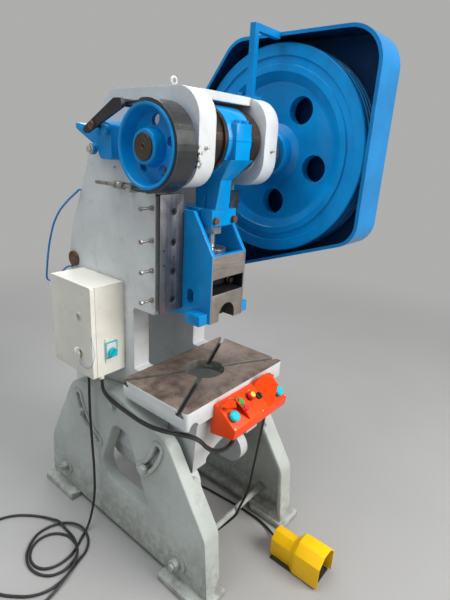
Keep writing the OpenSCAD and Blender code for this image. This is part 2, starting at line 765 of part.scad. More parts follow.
// Crankshaft and what turns with it
module crankshaft() {
    color(steel) difference() {
        union() {
            bar_x(drum_x0 - 6, -out_x - 3, ay, az, drum_shaft_d);
            bar_x(-out_x - 3 - e, out_x + 3 + e, ay, az, journal_d);
            bar_x(out_x + 3, hub_x0 - 0.3, ay, az, clutch_d);
            bar_x(hub_x0 - 1, shaft_x1, ay, az, fly_shaft_d);
            bar_x(7 - in_x, in_x - 7, ay, ecc_z, pin_d + 40);
            bar_x(-pin_w / 2 - 11, pin_w / 2 + 11, ay, ecc_z, pin_d + 56);
        }
        difference() {
            bar_x(-pin_w / 2, pin_w / 2, ay, ecc_z, pin_d + 60);
            bar_x(-pin_w / 2 - 1, pin_w / 2 + 1, ay, ecc_z, pin_d - 2 * fit);
        }
        spun([[0, drum_x0 - 7], [7, drum_x0 - 7], [0, drum_x0 + 4]], ay, az);
    }
}
module brake_drum() {
    r = drum_d / 2;
    hub = drum_shaft_d / 2 + 12;
    web_x = drum_x0 + 40;
    color(blue) difference() {
        spun([
            [drum_shaft_d / 2 + fit, drum_x0 - 2], [hub - 2, drum_x0 - 2], [hub, drum_x0 + 2],
            [hub + 6, web_x - 6], [r - 22, web_x], [r - 10, drum_x0 + 3], [r - 7, drum_x0],
            [r, drum_x0], [r, drum_x1], [r - 9, drum_x1], [r - 14, web_x + 12], [hub + 6, web_x + 8],
            [hub, drum_x1 - 6], [drum_shaft_d / 2 + fit, drum_x1 - 6],
        ], ay, az);
        for (k = [0 : 4]) translate([0, ay, az] + [0, each polar(r * 0.63, 166 - 72 * k)])
            rotate([0, 90, 0]) translate([0, 0, drum_x0]) cylinder(h = drum_w, d = 32);
    }
}
module clutch_collar() {
    x0 = out_x + 9;
    x1 = hub_x0 - 6;
    step = (x1 - x0) / 4;
    color(steel) spun([
        [clutch_d / 2 + fit, x0], [72, x0], [72, x0 + step], [66, x0 + step], [66, x0 + 2 * step],
        [72, x0 + 2 * step], [72, x0 + 3 * step], [60, x0 + 3 * step], [60, x1],
        [clutch_d / 2 + fit, x1],
    ], ay, az);
}

// Connecting rod: split ring, body and adjusting screw
module ring_boss(z0, z1) {
    block(-37, 37, ay - ring_d / 2 - 12, ay - pin_d / 2 + 10, z0, z1);
    block(-37, 37, ay + pin_d / 2 - 10, ay + ring_d / 2 + 12, z0, z1);
}
module rod_bolt_holes(d) {
    for (x = [-18, 18], s = [-1, 1])
        bar_z(ecc_z - 44, ecc_z + 60, x, ay + s * (ring_d / 2 - 1.5), d);
}
module connecting_rod() {
    rod_z = ball_z + 129;
    color(blue) difference() {
        union() {
            difference() {
                union() {
                    bar_x(-ring_w / 2, ring_w / 2, ay, ecc_z, ring_d);
                    ring_boss(ecc_z - 55, ecc_z);
                }
                block(-100, 100, ay - 200, ay + 200, ecc_z - 0.3, ecc_z + 200);
            }
            intersection() {
                along_y(ay - 120, ay + 120) polygon([
                    [-ring_w / 2, ecc_z - 55], [-28, ecc_z - 121], [-36, rod_z + 55], [-36, rod_z],
                    [36, rod_z], [36, rod_z + 55], [28, ecc_z - 121], [ring_w / 2, ecc_z - 55],
                ]);
                along_x(-60, 60) polygon([
                    [ay - 117, ecc_z - 55], [ay - 56, ecc_z - 121], [ay - 45, rod_z + 55],
                    [ay - 45, rod_z], [ay + 45, rod_z], [ay + 45, rod_z + 55],
                    [ay + 56, ecc_z - 121], [ay + 117, ecc_z - 55],
                ]);
            }
            block(-62, 62, ay - 55, ay + 55, rod_z + 5, rod_z + 60);
        }
        bar_x(-ring_w / 2 - 1, ring_w / 2 + 1, ay, ecc_z, pin_d + 2 * fit);
        bar_z(rod_z - 1, rod_z + 110, 0, ay, screw_d);
        block(-70, 70, ay - 2, ay + 2, rod_z - 1, rod_z + 108);
        rod_bolt_holes(14);
        for (x = [-47, 47]) bar_y(ay - 56, ay + 56, x, rod_z + 25, 14.4);
    }
}
module rod_cap() {
    color(blue) difference() {
        union() {
            bar_x(-ring_w / 2, ring_w / 2, ay, ecc_z, ring_d);
            ring_boss(ecc_z, ecc_z + 52);
        }
        block(-100, 100, ay - 200, ay + 200, ecc_z - 200, ecc_z + 0.3);
        bar_x(-ring_w / 2 - 1, ring_w / 2 + 1, ay, ecc_z, pin_d + 2 * fit);
        rod_bolt_holes(14.4);
    }
}
module rod_bolts() {
    rod_z = ball_z + 129;
    color(steel) {
        for (x = [-18, 18], s = [-1, 1]) {
            bar_z(ecc_z - 42, ecc_z + 52 + e, x, ay + s * (ring_d / 2 - 1.5), 14);
            hex_z(ecc_z + 52, ecc_z + 62, x, ay + s * (ring_d / 2 - 1.5), 20);
        }
        for (x = [-47, 47]) {
            bar_y(ay - 60, ay + 60, x, rod_z + 25, 14);
            bar_y(ay - 67, ay - 55, x, rod_z + 25, 22);
        }
    }
}
module ball_screw() {
    rod_z = ball_z + 129;
    color(steel) {
        translate([0, ay, ball_z]) sphere(d = ball_d);
        bar_z(ball_z + ball_d / 2 - 6, rod_z - 26, 0, ay, neck_d);
        bar_z(rod_z - 28, rod_z + 108, 0, ay, screw_d - 0.1);
    }
}
module lock_nut() {
    rod_z = ball_z + 129;
    color(steel) difference() {
        hex_z(rod_z - 26, rod_z - 0.2, 0, ay, screw_d + 18);
        bar_z(rod_z - 29, rod_z + 1, 0, ay, screw_d);
    }
}

// Ram with its seat and clamp
module ram() {
    side = [
        [ram_y0, pocket_z - 1], [ram_y1, pocket_z - 1], [ram_y1, ram_z + ram_h],
        [ay + 3, ram_z + ram_h], [ay - 5, ram_z + ram_h - 9], [ram_y0, lip_z],
    ];
    color(blue) difference() {
        union() {
            block(-ram_x, ram_x, ram_y0, ram_y1, ram_z, pocket_z);
            both_sides() {
                along_x(ram_x - wall_x, ram_x) polygon(side);
                translate([0, 0, ram_z]) linear_extrude(ram_h) polygon([
                    [ram_x - e, ridge_y - ridge], [ram_x + ridge, ridge_y], [ram_x - e, ridge_y + ridge],
                ]);
                block(ram_x - e, ram_x + 42, ay - 80, ay - 10, ram_z, ram_z + 38);
            }
            block(-ram_x, ram_x, ram_y1 - 70, ram_y1, pocket_z - e, ram_z + ram_h);
            block(-ram_x, ram_x, ram_y0, ram_y0 + 20, pocket_z - e, lip_z);
        }
        block(-ram_x + 8.5, ram_x - 8.5, ram_y0 - 1, ay - 2, ram_z - 1, ram_z + clamp_h + 10);
        block(-ram_x + 8, ram_x - 8, ram_y0 - 1, ay - 30, ram_z + clamp_h, ram_z + clamp_h + 55);
        bar_z(ram_z - 1, ram_z + clamp_h + 20, 0, ay, shank_d);
        along_x(-ram_x - 1, ram_x + 1) {
            for (z = [ram_z + 72, ram_z + 91]) translate([ay + 6, z]) circle(d = 32);
            translate([ay - 10, ram_z + 72]) square([32, 19]);
        }
        bar_z(pocket_z - 18, pocket_z + 1, 0, ay, 2 * (ball_d / 2 + ball_gap) + 24);
        translate([0, ay, ball_z]) sphere(r = ball_d / 2 + ball_gap);
    }
}
module ball_seat() {
    color(steel) difference() {
        union() {
            bar_z(pocket_z - 18, pocket_z + 1, 0, ay, 2 * (ball_d / 2 + ball_gap) + 23.4);
            bar_z(pocket_z, pocket_z + collar_h, 0, ay, collar_d);
        }
        translate([0, ay, ball_z]) sphere(r = ball_d / 2 + ball_gap);
        bar_z(pocket_z, pocket_z + collar_h + 1, 0, ay, neck_d + 16);
    }
}
module tool_clamp() {
    z1 = ram_z + clamp_h;
    color(steel) difference() {
        union() {
            block(-ram_x + 8.8, ram_x - 8.8, ram_y0, ay - 2.3, ram_z, z1);
            for (x = [-62, 62]) {
                bar_y(ay - 44, ay - 30.3, x, z1 + 22, 26);
                bar_y(ay - 56, ay - 44 + e, x, z1 + 22, 20);
            }
        }
        bar_z(ram_z - 1, z1 + 1, 0, ay, shank_d);
        bar_y(ram_y0 - 1, ram_y0 + 48, 0, ram_z + 20, 84);
        block(-42, 42, ram_y0 - 1, ram_y0 + 48, ram_z - 1, ram_z + 20);
    }
}

// Flywheel, belts and motor
module flywheel() {
    r = fly_r;
    x1 = fly_x + fly_w;
    web0 = fly_x + 26;
    web1 = web0 + 40;
    hub = 82;
    bore = fly_shaft_d / 2 + fit;
    color(blue) difference() {
        spun([
            [bore, hub_x0], [hub - 5, hub_x0], [hub, hub_x0 + 5], [hub, web0 - 12], [hub + 26, web0],
            [r - 134, web0], [r - 124, web0 - 2], [r - 96, fly_x + 4], [r - 92, fly_x],
            [r - 70, fly_x], [r - 67, fly_x + 6], [r - 44, fly_x + 6], [r - 41, fly_x],
            [r - 4, fly_x], [r, fly_x + 4], [r, x1], [r - 45, x1], [r - 60, web1], [hub + 20, web1],
            [hub, x1], [bore, x1],
        ], ay, az);
        for (k = [0 : fly_holes - 1]) translate([fly_x, ay, az] + [0, each polar(r - 194, 51 - 360 / fly_holes * k)])
            rotate([0, 90, 0]) cylinder(h = fly_w, d = fly_hole_d);
        for (i = [0 : belts - 1]) {
            x = belt_x + (i - (belts - 1) / 2) * groove_pitch;
            spun([[r - groove_h, x - 5], [r + 1, x - 9], [r + 1, x + 9], [r - groove_h, x + 5]], ay, az);
        }
    }
}
module motor_pulley() {
    r = pulley_d / 2;
    color(dark) difference() {
        union() {
            spun([[14, fly_x], [r, fly_x], [r, fly_x + fly_w], [14, fly_x + fly_w]], motor_y, motor_z);
            bar_x(motor_x1 + 1, fly_x + fly_w + 4, motor_y, motor_z, 28 + e);
        }
        for (i = [0 : belts - 1]) {
            x = belt_x + (i - (belts - 1) / 2) * groove_pitch;
            spun([[r - groove_h, x - 5], [r + 1, x - 9], [r + 1, x + 9], [r - groove_h, x + 5]],
                motor_y, motor_z);
        }
    }
}
function belt_loop(grow) =
    let (c1 = [ay, az], c2 = [motor_y, motor_z])
    let (r1 = fly_r - groove_h + 0.4 + grow, r2 = pulley_d / 2 - groove_h + 0.4 + grow)
    let (dist = norm(c2 - c1), lean = atan2(c2[1] - c1[1], c2[0] - c1[0]))
    let (wrap = acos((r1 - r2) / dist))
    concat(
        [for (i = [0 : 36]) c1 + polar(r1, lean + wrap + (360 - 2 * wrap) * i / 36) / cos(90 * (1 - wrap / 180) / 18)],
        [for (i = [0 : 12]) c2 + polar(r2, lean - wrap + 2 * wrap * i / 12) / cos(wrap / 12)]
    );
module v_belts() {
    color(dark) for (i = [0 : belts - 1]) {
        x = belt_x + (i - (belts - 1) / 2) * groove_pitch;
        along_x(x - 4.5, x + 4.5) difference() {
            polygon(belt_loop(belt_h));
            polygon(belt_loop(0));
        }
    }
}
module motor() {
    r = motor_d / 2;
    color(blue) difference() {
        union() {
            spun([
                [0, motor_x0 - 40], [r - 14, motor_x0 - 40], [r - 4, motor_x0 - 32], [r - 4, motor_x0],
                [r - 10, motor_x0], [r - 10, motor_x1 - 24], [r, motor_x1 - 24], [r, motor_x1 - 10],
                [r - 30, motor_x1], [0, motor_x1],
            ], motor_y, motor_z);
            for (a = [-60 : 15 : 60]) translate([0, motor_y, motor_z]) rotate([a, 0, 0])
                block(motor_x0 + 6, motor_x1 - 23, r - 12, r - 1, -2, 2);
            for (a = [-120, 120]) translate([0, motor_y, motor_z]) rotate([a, 0, 0])
                block(motor_x0 + 6, motor_x1 - 23, r - 12, r - 1, -2, 2);
            for (z = [-1, 1]) translate([0, 0, motor_z + z * (r - 25)])
                block(motor_x0 + 20, motor_x1 - 50, motor_y - r - 12, motor_y - 50, -14, 14);
            block(motor_x0 + 50, motor_x0 + 150, motor_y - 45, motor_y + 45, motor_z + r - 16, motor_z + r + 40);
        }
        bar_x(motor_x1 - 30, motor_x1 + 1, motor_y, motor_z, 28 + 2 * fit);
    }
}
module motor_plate() {
    y1 = motor_y - motor_d / 2 - 12;
    color(blue) difference() {
        union() {
            block(motor_x0 - 20, motor_x1, y1 - 12, y1, motor_z - 110, motor_z + 110);
            for (x = [motor_x0 - 10, motor_x0 + 50]) {
                block(x, x + 20, hinge_y, y1 - 12 + e, hinge_z - 30, hinge_z + 30);
                bar_x(x, x + 20, hinge_y, hinge_z, 60);
            }
        }
        bar_x(motor_x0 - 40, motor_x0 + 90, hinge_y, hinge_z, 45);
    }
}
module motor_hinge_shaft() {
    color(dark) {
        bar_x(-out_x - 12, out_x + 10, hinge_y, hinge_z, 45 - 2 * fit);
        bar_x(-out_x - 10, -out_x - 0.1, hinge_y, hinge_z, 60);
    }
}

// Flywheel guard: a tray of sheet that is open towards the frame
module flywheel_guard() {
    color(blue) {
        difference() {
            along_x(guard_x0, guard_x1) polygon(rounded(guard_outline, 10));
            along_x(guard_x0 + sheet_t, guard_x1 - sheet_t)
                polygon(rounded(inset(guard_outline, sheet_t), 10));
            along_x(guard_x0 - 1, guard_x0 + sheet_t + 1)
                polygon(rounded(inset(guard_outline, lip), 10));
        }
    }
}
module guard_brackets() {
    top_z = az + 398;
    a = strut_a / 2;
    color(blue) {
        block(strut_x - a, strut_x + a, strut_y - a, strut_y + a, head_z + 10 - e, top_z);
        block(strut_x + a - e, guard_x0, strut_y - a, strut_y + a, top_z - strut_a, top_z);
        block(strut_x - 25, strut_x + 25, strut_y - 30, strut_y + 60, head_z, head_z + 10);
        hex_z(head_z + 10 - e, head_z + 22, strut_x - 5, strut_y + 38, 22);
        low_z = guard_low(ay + 345);
        block(out_x, guard_x0, ay + 325, ay + 365, low_z, low_z + 6);
        block(out_x, out_x + 8, ay + 325, ay + 365, low_z + 6 - e, low_z + 60);
    }
}
function guard_low(y) =
    let (p = guard_outline[2], q = guard_outline[3])
    p[1] + (q[1] - p[1]) * (y - p[0]) / (q[0] - p[0]) + 1;

// Band brake
module brake_band() {
    r = drum_d / 2 + 1;
    x0 = drum_x0 + (drum_w - band_w) / 2;
    n = 24;
    outer = [for (i = [0 : n]) [ay, az] + polar(r + band_t, 78 + 192 * i / n)];
    inner = [for (i = [n : -1 : 0]) [ay, az] + polar(r, 78 + 192 * i / n)];
    strap = band_t - 3;
    color(dark) {
        along_x(x0, x0 + band_w) polygon(concat(outer, inner));
        along_x(x0 + 15, x0 + band_w - 15) {
            polygon([
                [ay, az] + polar(r + 3, 78), [ay, az] + polar(r + band_t, 78),
                [ay + 100, az + 119], [ay + 100, az + 119 - strap - 2],
            ]);
            polygon([
                [ay, az - r - 3], [ay, az - r - band_t], [ay + 50, az - r - band_t - 1],
                [ay + 88, az - r - 8], [ay + 88, az - r], [ay + 46, az - r - band_t + 5],
            ]);
        }
    }
}
module brake_tensioner() {
    x = drum_x0 + drum_w / 2;
    z = az - drum_d / 2 - 4;
    y0 = ay + 88;
    color(steel) {
        bar_y(y0, y0 + 206, x, z, 12);
        block(x - 22, x + 22, y0, y0 + 8, z - 14, z + 8);
        translate([x, y0 + 60, z]) rotate([-90, 0, 0]) cylinder(h = 14, d = 26, $fn = 6);
        bar_x(x, -out_x, y0 + 84, z, 14);
        translate([x, y0 + 84, z]) sphere(d = 26);
        translate([x, y0 + 94, z]) rotate([-90, 0, 0]) cylinder(h = 12, d = 24, $fn = 6);
    }
}
module brake_bracket() {
    x0 = drum_x0 + 29;
    color(blue) difference() {
        along_x(x0, -out_x) polygon(rounded([
            [ay + 188, az - 46, 12], [ay + 250, az - 46, 16], [ay + 262, az - 10, 10],
            [ay + 378, az + 44, 10], [ay + 378, az + 62, 8], [ay + 262, az + 46, 10],
            [ay + 240, az + 70, 20], [ay + 188, az + 58, 12],
        ]));
        bar_x(x0 - 1, x0 + 21, lever_pin[0], lever_pin[1], 12);
    }
    color(blue) {
        bar_x(x0 - 14, x0 + e, ay + 276, az - 18, 34);
        hex_x(x0 - 24, x0 - 14 + e, ay + 276, az - 18, 19);
        bar_x(x0 - 16, x0 + e, ay + 205, az + 42, 30);
    }
}
module brake_lever() {
    x0 = drum_x0;
    strap_y = ay + 104;
    color(dark) difference() {
        union() {
            block(x0 + 4, x0 + 72, strap_y - 4, strap_y + 22, az + 106, az + 126);
            along_x(x0, x0 + 12) polygon(rounded([
                [strap_y - 6, az + 104, 8], [ay + 284, az + 26, 10], [ay + 298, az + 42, 10],
                [strap_y + 30, az + 128, 10], [strap_y - 6, az + 128, 8],
            ]));
        }
        bar_x(x0 - 1, x0 + 13, lever_pin[0], lever_pin[1], 12 + 2 * fit);
    }
    color(steel) {
        bar_x(x0 - 4, x0 + 50, lever_pin[0], lever_pin[1], 12);
        bar_x(x0 - 6, x0 - 4 + e, lever_pin[0], lever_pin[1], 20);
    }
}
module lifting_eye() {
    color(grey_frame) {
        bar_z(head_z, head_z + 5, 36 - out_x, ay + 31, 24);
        translate([36 - out_x, ay + 31, head_z + 16]) rotate([90, 0, 0])
            rotate_extrude() translate([10, 0]) circle(d = 7, $fn = 24);
        bar_z(head_z - 20, head_z + 8, 36 - out_x, ay + 31, 11);
    }
}

// Electric box on the left cheek
module electric_box() {
    mid = box_y1 + hinge_d / 2 + 1;
    color(beige) difference() {
        union() {
            block(box_x0, box_x1, box_y0, box_y1, box_z0, box_z1);
            for (g = glands) bar_z(box_z0 - gland_h, box_z0 + e, g[0], g[1], gland_d);
            for (z = [box_z0 + 60, box_z1 - 90]) {
                bar_z(z, z + 30, door_x0 + door_t / 2, mid, hinge_d);
                block(door_x0 + door_t / 2, box_x0 + 20, box_y1 - e, mid, z, z + 30);
            }
        }
        block(box_x0 - 1, box_x1 - box_wall, box_y0 + box_wall, box_y1 - box_wall,
            box_z0 + box_wall, box_z1 - box_wall);
        for (g = glands) bar_z(box_z0 - gland_h - 1, box_z0 + box_wall + 1, g[0], g[1], g[2]);
        for (z = [box_z0 + 60, box_z1 - 90])
            bar_z(z - 1, z + 31, door_x0 + door_t / 2, mid, 5 + 2 * fit);
        bar_y(box_y0 - 1, box_y0 + box_wall + 1, switch_x, switch_z, 12);
    }
    color(beige) difference() {
        block(switch_x - 25, switch_x + 25, box_y0 - 5, box_y0 + e, switch_z - 36, switch_z + 55);
        bar_y(box_y0 - 6, box_y0 + 1, switch_x, switch_z, 12);
    }
}
module box_switchgear() {
    x1 = box_x1 - box_wall;
    color(steel) block(x1 - 3, x1, box_y0 + 20, box_y1 - 20, box_z0 + 20, box_z1 - 20);
    color(dark) {
        for (y = [0 : 3]) translate([0, y * 48, 0])
            block(x1 - 63, x1 - 3 + e, box_y0 + 32, box_y0 + 74, box_z1 - 130, box_z1 - 50);
        block(x1 - 78, x1 - 3 + e, box_y0 + 130, box_y0 + 215, box_z0 + 95, box_z0 + 180);
        block(x1 - 40, x1 - 3 + e, box_y0 + 32, box_y0 + 215, box_z0 + 40, box_z0 + 70);
    }
}
module box_door() {
    mid = box_y1 + hinge_d / 2 + 1;
    color(beige) difference() {
        union() {
            along_x(door_x0, box_x0 - 0.4) polygon(rounded([
                [box_y0 - 2, box_z0 - 2, 8], [box_y1 - 1, box_z0 - 2, 8], [box_y1 - 1, box_z1 + 2, 8],
                [box_y0 - 2, box_z1 + 2, 8],
            ]));
            for (z = [box_z0 + 60, box_z1 - 90]) {
                bar_z(z + 30.4, z + 50, door_x0 + door_t / 2, mid, hinge_d);
                block(door_x0, door_x0 + door_t / 2, box_y1 - 2, mid, z + 30.4, z + 50);
                bar_z(z, z + 31, door_x0 + door_t / 2, mid, 5);
            }
        }
        along_x(door_x0 + 3, box_x0) polygon([
            [box_y0 + 8, box_z0 + 8], [box_y1 - 12, box_z0 + 8], [box_y1 - 12, box_z1 - 8],
            [box_y0 + 8, box_z1 - 8],
        ]);
        for (z = lock_zs) bar_x(door_x0 - 1, box_x0, lock_ys, z, 16 + 2 * fit);
    }
}
module door_lock(z) {
    color(dark) difference() {
        union() {
            bar_x(door_x0 - 3, door_x0 - 0.1, lock_ys, z, 22);
            bar_x(door_x0 - 0.2, door_x0 + 9, lock_ys, z, 16);
            block(door_x0 + 5, door_x0 + 8, lock_ys - 6, lock_ys + 6, z - 26, z);
        }
        block(door_x0 - 4, door_x0 + 1, lock_ys - 1.5, lock_ys + 1.5, z - 5, z + 5);
    }
}
module door_lock_top() {
    door_lock(lock_zs[1]);
}
module door_lock_bottom() {
    door_lock(lock_zs[0]);
}
module switch_knob() {
    y = box_y0 - 5;
    color(cyan) {
        bar_y(y - 12, y - 0.2, switch_x, switch_z, knob_d);
        translate([switch_x, y - 12, switch_z]) rotate([0, 45, 0])
            block(-4, 4, -10, e, -knob_d / 2 + 1, knob_d / 2 - 1);
        bar_y(y - 0.3, box_y0 + 14, switch_x, switch_z, 12 - 2 * fit);
    }
}

// Operator station: children stand on the sloping face, Z is its normal
module on_slope(at) {
    translate([at[0], slope_top[0], slope_top[1]]) rotate([slope_angle, 0, 0])
        translate([0, -at[1], 0]) children();
}
module half_hood(d) {
    difference() {
        cylinder(h = 24, d = d + 18);
        translate([0, 0, -1]) cylinder(h = 26, d = d + 9);
        translate([-d, -d - 4, -1]) cube([2 * d, d, 26]);
    }
}
module station_housing() {
    color(orange) difference() {
        union() {
            along_x(-station_left, station_right) polygon(rounded(station_outline, 3));
            for (p = [palm_left, palm_right]) on_slope(p) translate([0, 0, -e]) half_hood(palm_d);
            on_slope(stop_at) translate([0, 0, -e]) half_hood(34);
        }
        for (p = [palm_left, palm_right]) on_slope(p) translate([0, 0, -34]) cylinder(h = 36, d = 16);
        for (p = [green_at, red_at, selector_at]) on_slope(p) translate([0, 0, -24]) cylinder(h = 26, d = push_d - 4);
        on_slope(stop_at) translate([0, 0, -34]) cylinder(h = 36, d = 14);
        bar_z(bed_top - 160, bed_top - 110, pedal_route[0][0], pedal_route[0][1], pedal_cord_d + 0.6);
        for (s = [0, 1]) bar_z(bed_top - 160, bed_top - 110, lead_route[len(lead_route) - 1][0] + s * lead_step[0],
            lead_route[len(lead_route) - 1][1] + s * lead_step[1], lead_d + 0.6);
    }
}
module selector_switch() {
    color(dark) on_slope(selector_at) {
        translate([0, 0, -22]) cylinder(h = 23, d = push_d - 4 - 2 * fit);
        translate([0, 0, 0.3]) cylinder(h = 8, d = push_d + 4);
        translate([-3, -push_d / 2, 8 - e]) cube([6, push_d, 7]);
    }
}
module palm_cap() {
    translate([0, 0, 8]) cylinder(h = 10, d = palm_d);
    translate([0, 0, 18 - e]) cylinder(h = 4, d1 = palm_d, d2 = palm_d - 10);
    translate([0, 0, -18]) cylinder(h = 27, d = 16 - 2 * button_play);
}
module palm_button_left() {
    color(cyan) on_slope(palm_left) palm_cap();
}
module palm_button_right() {
    color(cyan) on_slope(palm_right) palm_cap();
}
module push_cap() {
    translate([0, 0, 5]) cylinder(h = 5, d = push_d);
    translate([0, 0, -16]) cylinder(h = 22, d = push_d - 4 - 2 * button_play);
}
module green_button() {
    color([0.1, 0.7, 0.3]) on_slope(green_at) push_cap();
}
module red_button() {
    color([0.8, 0.1, 0.1]) on_slope(red_at) push_cap();
}
module stop_button() {
    color([0.85, 0.1, 0.1]) on_slope(stop_at) {
        translate([0, 0, 9]) cylinder(h = 9, d = 32);
        translate([0, 0, 18 - e]) cylinder(h = 4, d1 = 32, d2 = 24);
        translate([0, 0, -18]) cylinder(h = 28, d = 14 - 2 * button_play);
    }
}

// Foot switch
module hood_2d(w, h, cut) {
    polygon([
        [foot_x - w / 2, 8], [foot_x + w / 2, 8], [foot_x + w / 2, h - cut],
        [foot_x + w / 2 - cut, h], [foot_x - w / 2 + cut, h], [foot_x - w / 2, h - cut],
    ]);
}
module hood_form(g) {
    y1 = foot_back - 90;
    along_y(foot_front - (g > 0 ? 1 : 0), y1 - 25) hood_2d(hood_w - 2 * g, hood_h - g, 34);
    along_y(y1, foot_back - g) hood_2d(rear_hood_w - 2 * g, rear_hood_h - g, 28);
    hull() {
        along_y(y1 - 26, y1 - 25 + e) hood_2d(hood_w - 2 * g, hood_h - g, 34);
        along_y(y1 - e, y1 + 1) hood_2d(rear_hood_w - 2 * g, rear_hood_h - g, 28);
    }
}
module foot_hood() {
    color(yellow) difference() {
        hood_form(0);
        translate([0, 0, -e]) hood_form(hood_wall);
        block(foot_x - hood_w, foot_x + hood_w, foot_front - 2, foot_back + 2, 0, 8 + e);
    }
}
module foot_base() {
    w = rear_hood_w / 2 - hood_wall - 1;
    color(dark) difference() {
        union() {
            block(foot_x - 56, foot_x + 56, foot_front + 12, foot_back - 10, 0, 8);
            block(foot_x - w, foot_x + w, foot_back - 50, foot_back - hood_wall - 0.3, 8 - e, 62);
            for (s = [-1, 1]) block(foot_x + s * (w - 4) - 4, foot_x + s * (w - 4) + 4,
                pedal_y - 12, foot_back - 50 + e, 8 - e, 66);
        }
        bar_x(foot_x - 60, foot_x + 60, pedal_y, pedal_z, pedal_pin_d);
    }
    color(dark) difference() {
        union() {
            hex_y(foot_back, foot_back + 8, gland_x, gland_z, foot_gland_d + 2);
            bar_y(foot_back + 8 - e, foot_back + 20, gland_x, gland_z, foot_gland_d);
        }
        bar_y(foot_back - 1, foot_back + 21, gland_x, gland_z, pedal_cord_d + 0.4);
    }
}
module pedal() {
    w = rear_hood_w / 2 - hood_wall - 11;
    color(dark) difference() {
        union() {
            bar_x(foot_x - w, foot_x + w, pedal_y, pedal_z, 18);
            along_x(foot_x - w, foot_x + w) polygon([
                [pedal_y, pedal_z + 6], [pedal_y - 125, pedal_z - 4], [pedal_y - 125, pedal_z + 1],
                [pedal_y, pedal_z + 12 - 3],
            ]);
            along_x(foot_x - w, foot_x + w) polygon([
                [pedal_y - 40, pedal_z + 1], [pedal_y - 125, pedal_z - 6], [pedal_y - 125, pedal_z + 2],
                [pedal_y - 40, pedal_z + 8],
            ]);
        }
        bar_x(foot_x - w - 1, foot_x + w + 1, pedal_y, pedal_z, pedal_pin_d + 2 * fit);
    }
}
module pedal_pin() {
    w = rear_hood_w / 2 - hood_wall - 1;
    color(steel) bar_x(foot_x - w, foot_x + w, pedal_y, pedal_z, pedal_pin_d);
}
// Cords
module mains_cord() {
    color(dark) tube(mains_route, mains_d);
}
module mains_coil() {
    color(dark) translate([coil_at[0], coil_at[1], 0]) rotate_extrude() polygon([
        [coil_mid_r - 1.5 * mains_d, 1], [coil_mid_r + 1.5 * mains_d, 1],
        [coil_mid_r + 1.5 * mains_d, 2 * mains_d], [coil_mid_r - 1.5 * mains_d, 2 * mains_d],
    ]);
}
module mains_plug() {
    color([0.75, 0.12, 0.1]) bar_x(plug_at[0], plug_at[0] + 90, plug_at[1], 30, 60);
    color(dark) bar_x(plug_at[0] - 60, plug_at[0] + e, plug_at[1], 30, 44);
}
module pedal_cord() {
    color(dark) tube(pedal_route, pedal_cord_d);
}
module station_lead_a() {
    color(dark) tube(lead_route, lead_d);
}
module station_lead_b() {
    color(dark) tube([for (p = lead_route) p + lead_step], lead_d);
}
module lube_hose() {
    color(blue) tube(hose_route, hose_d);
}

leg_left();
leg_right();
tie_rods();
leg_fasteners();
foot_base();
foot_hood();
pedal();
pedal_pin();
selector_switch();
mains_cord();
mains_coil();
mains_plug();
pedal_cord();
frame_casting();
bed_table();
lock_bolts();
crank_bushes();
gib_left();
gib_right();
gib_screws();
gib_adjusters();
flywheel_guard();
guard_brackets();
motor();
motor_plate();
motor_hinge_shaft();
v_belts();
electric_box();
box_switchgear();
station_housing();
brake_bracket();
brake_band();
brake_lever();
brake_tensioner();
lifting_eye();
station_lead_a();
station_lead_b();
lube_hose();
crankshaft();
brake_drum();
clutch_collar();
connecting_rod();
rod_cap();
rod_bolts();
ball_screw();
lock_nut();
ram();
ball_seat();
tool_clamp();
flywheel();
motor_pulley();
box_door();
door_lock_top();
door_lock_bottom();
switch_knob();
palm_button_left();
palm_button_right();
green_button();
red_button();
stop_button();
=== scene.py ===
"""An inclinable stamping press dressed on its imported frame: finishes, cords and small fittings."""
import json
import logging
import math
from dataclasses import dataclass, field
from enum import Enum
from typing import Iterable, Sequence

import bmesh
import bpy
from mathutils import Matrix, Vector
from mathutils.bvhtree import BVHTree

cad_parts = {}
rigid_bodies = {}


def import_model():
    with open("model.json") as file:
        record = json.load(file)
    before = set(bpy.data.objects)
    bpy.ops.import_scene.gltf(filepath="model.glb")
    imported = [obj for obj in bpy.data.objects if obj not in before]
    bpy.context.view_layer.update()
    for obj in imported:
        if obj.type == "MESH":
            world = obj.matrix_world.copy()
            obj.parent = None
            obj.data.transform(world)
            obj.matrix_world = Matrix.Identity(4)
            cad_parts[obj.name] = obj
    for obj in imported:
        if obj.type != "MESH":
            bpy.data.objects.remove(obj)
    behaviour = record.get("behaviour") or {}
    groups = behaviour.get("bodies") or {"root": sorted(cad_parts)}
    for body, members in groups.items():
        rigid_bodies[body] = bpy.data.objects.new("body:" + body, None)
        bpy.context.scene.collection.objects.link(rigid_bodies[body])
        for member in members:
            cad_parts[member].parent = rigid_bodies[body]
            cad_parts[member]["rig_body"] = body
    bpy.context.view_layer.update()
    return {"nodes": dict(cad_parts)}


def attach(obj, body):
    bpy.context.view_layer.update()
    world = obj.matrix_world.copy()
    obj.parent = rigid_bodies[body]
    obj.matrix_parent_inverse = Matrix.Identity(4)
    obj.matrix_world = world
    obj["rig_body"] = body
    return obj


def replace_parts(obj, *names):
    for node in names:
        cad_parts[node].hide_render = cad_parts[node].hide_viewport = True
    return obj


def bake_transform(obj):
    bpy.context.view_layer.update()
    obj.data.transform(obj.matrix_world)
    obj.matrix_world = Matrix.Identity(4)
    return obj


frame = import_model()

log = logging.getLogger("press")
Point = tuple[float, float, float]
Colour = tuple[float, float, float]
Profile = Sequence[tuple[float, float]]
Route = tuple[tuple[int, int, int], ...]
BMesh = bmesh.types.BMesh
Socket = bpy.types.NodeSocket
NODES: dict[str, bpy.types.Object] = frame["nodes"]

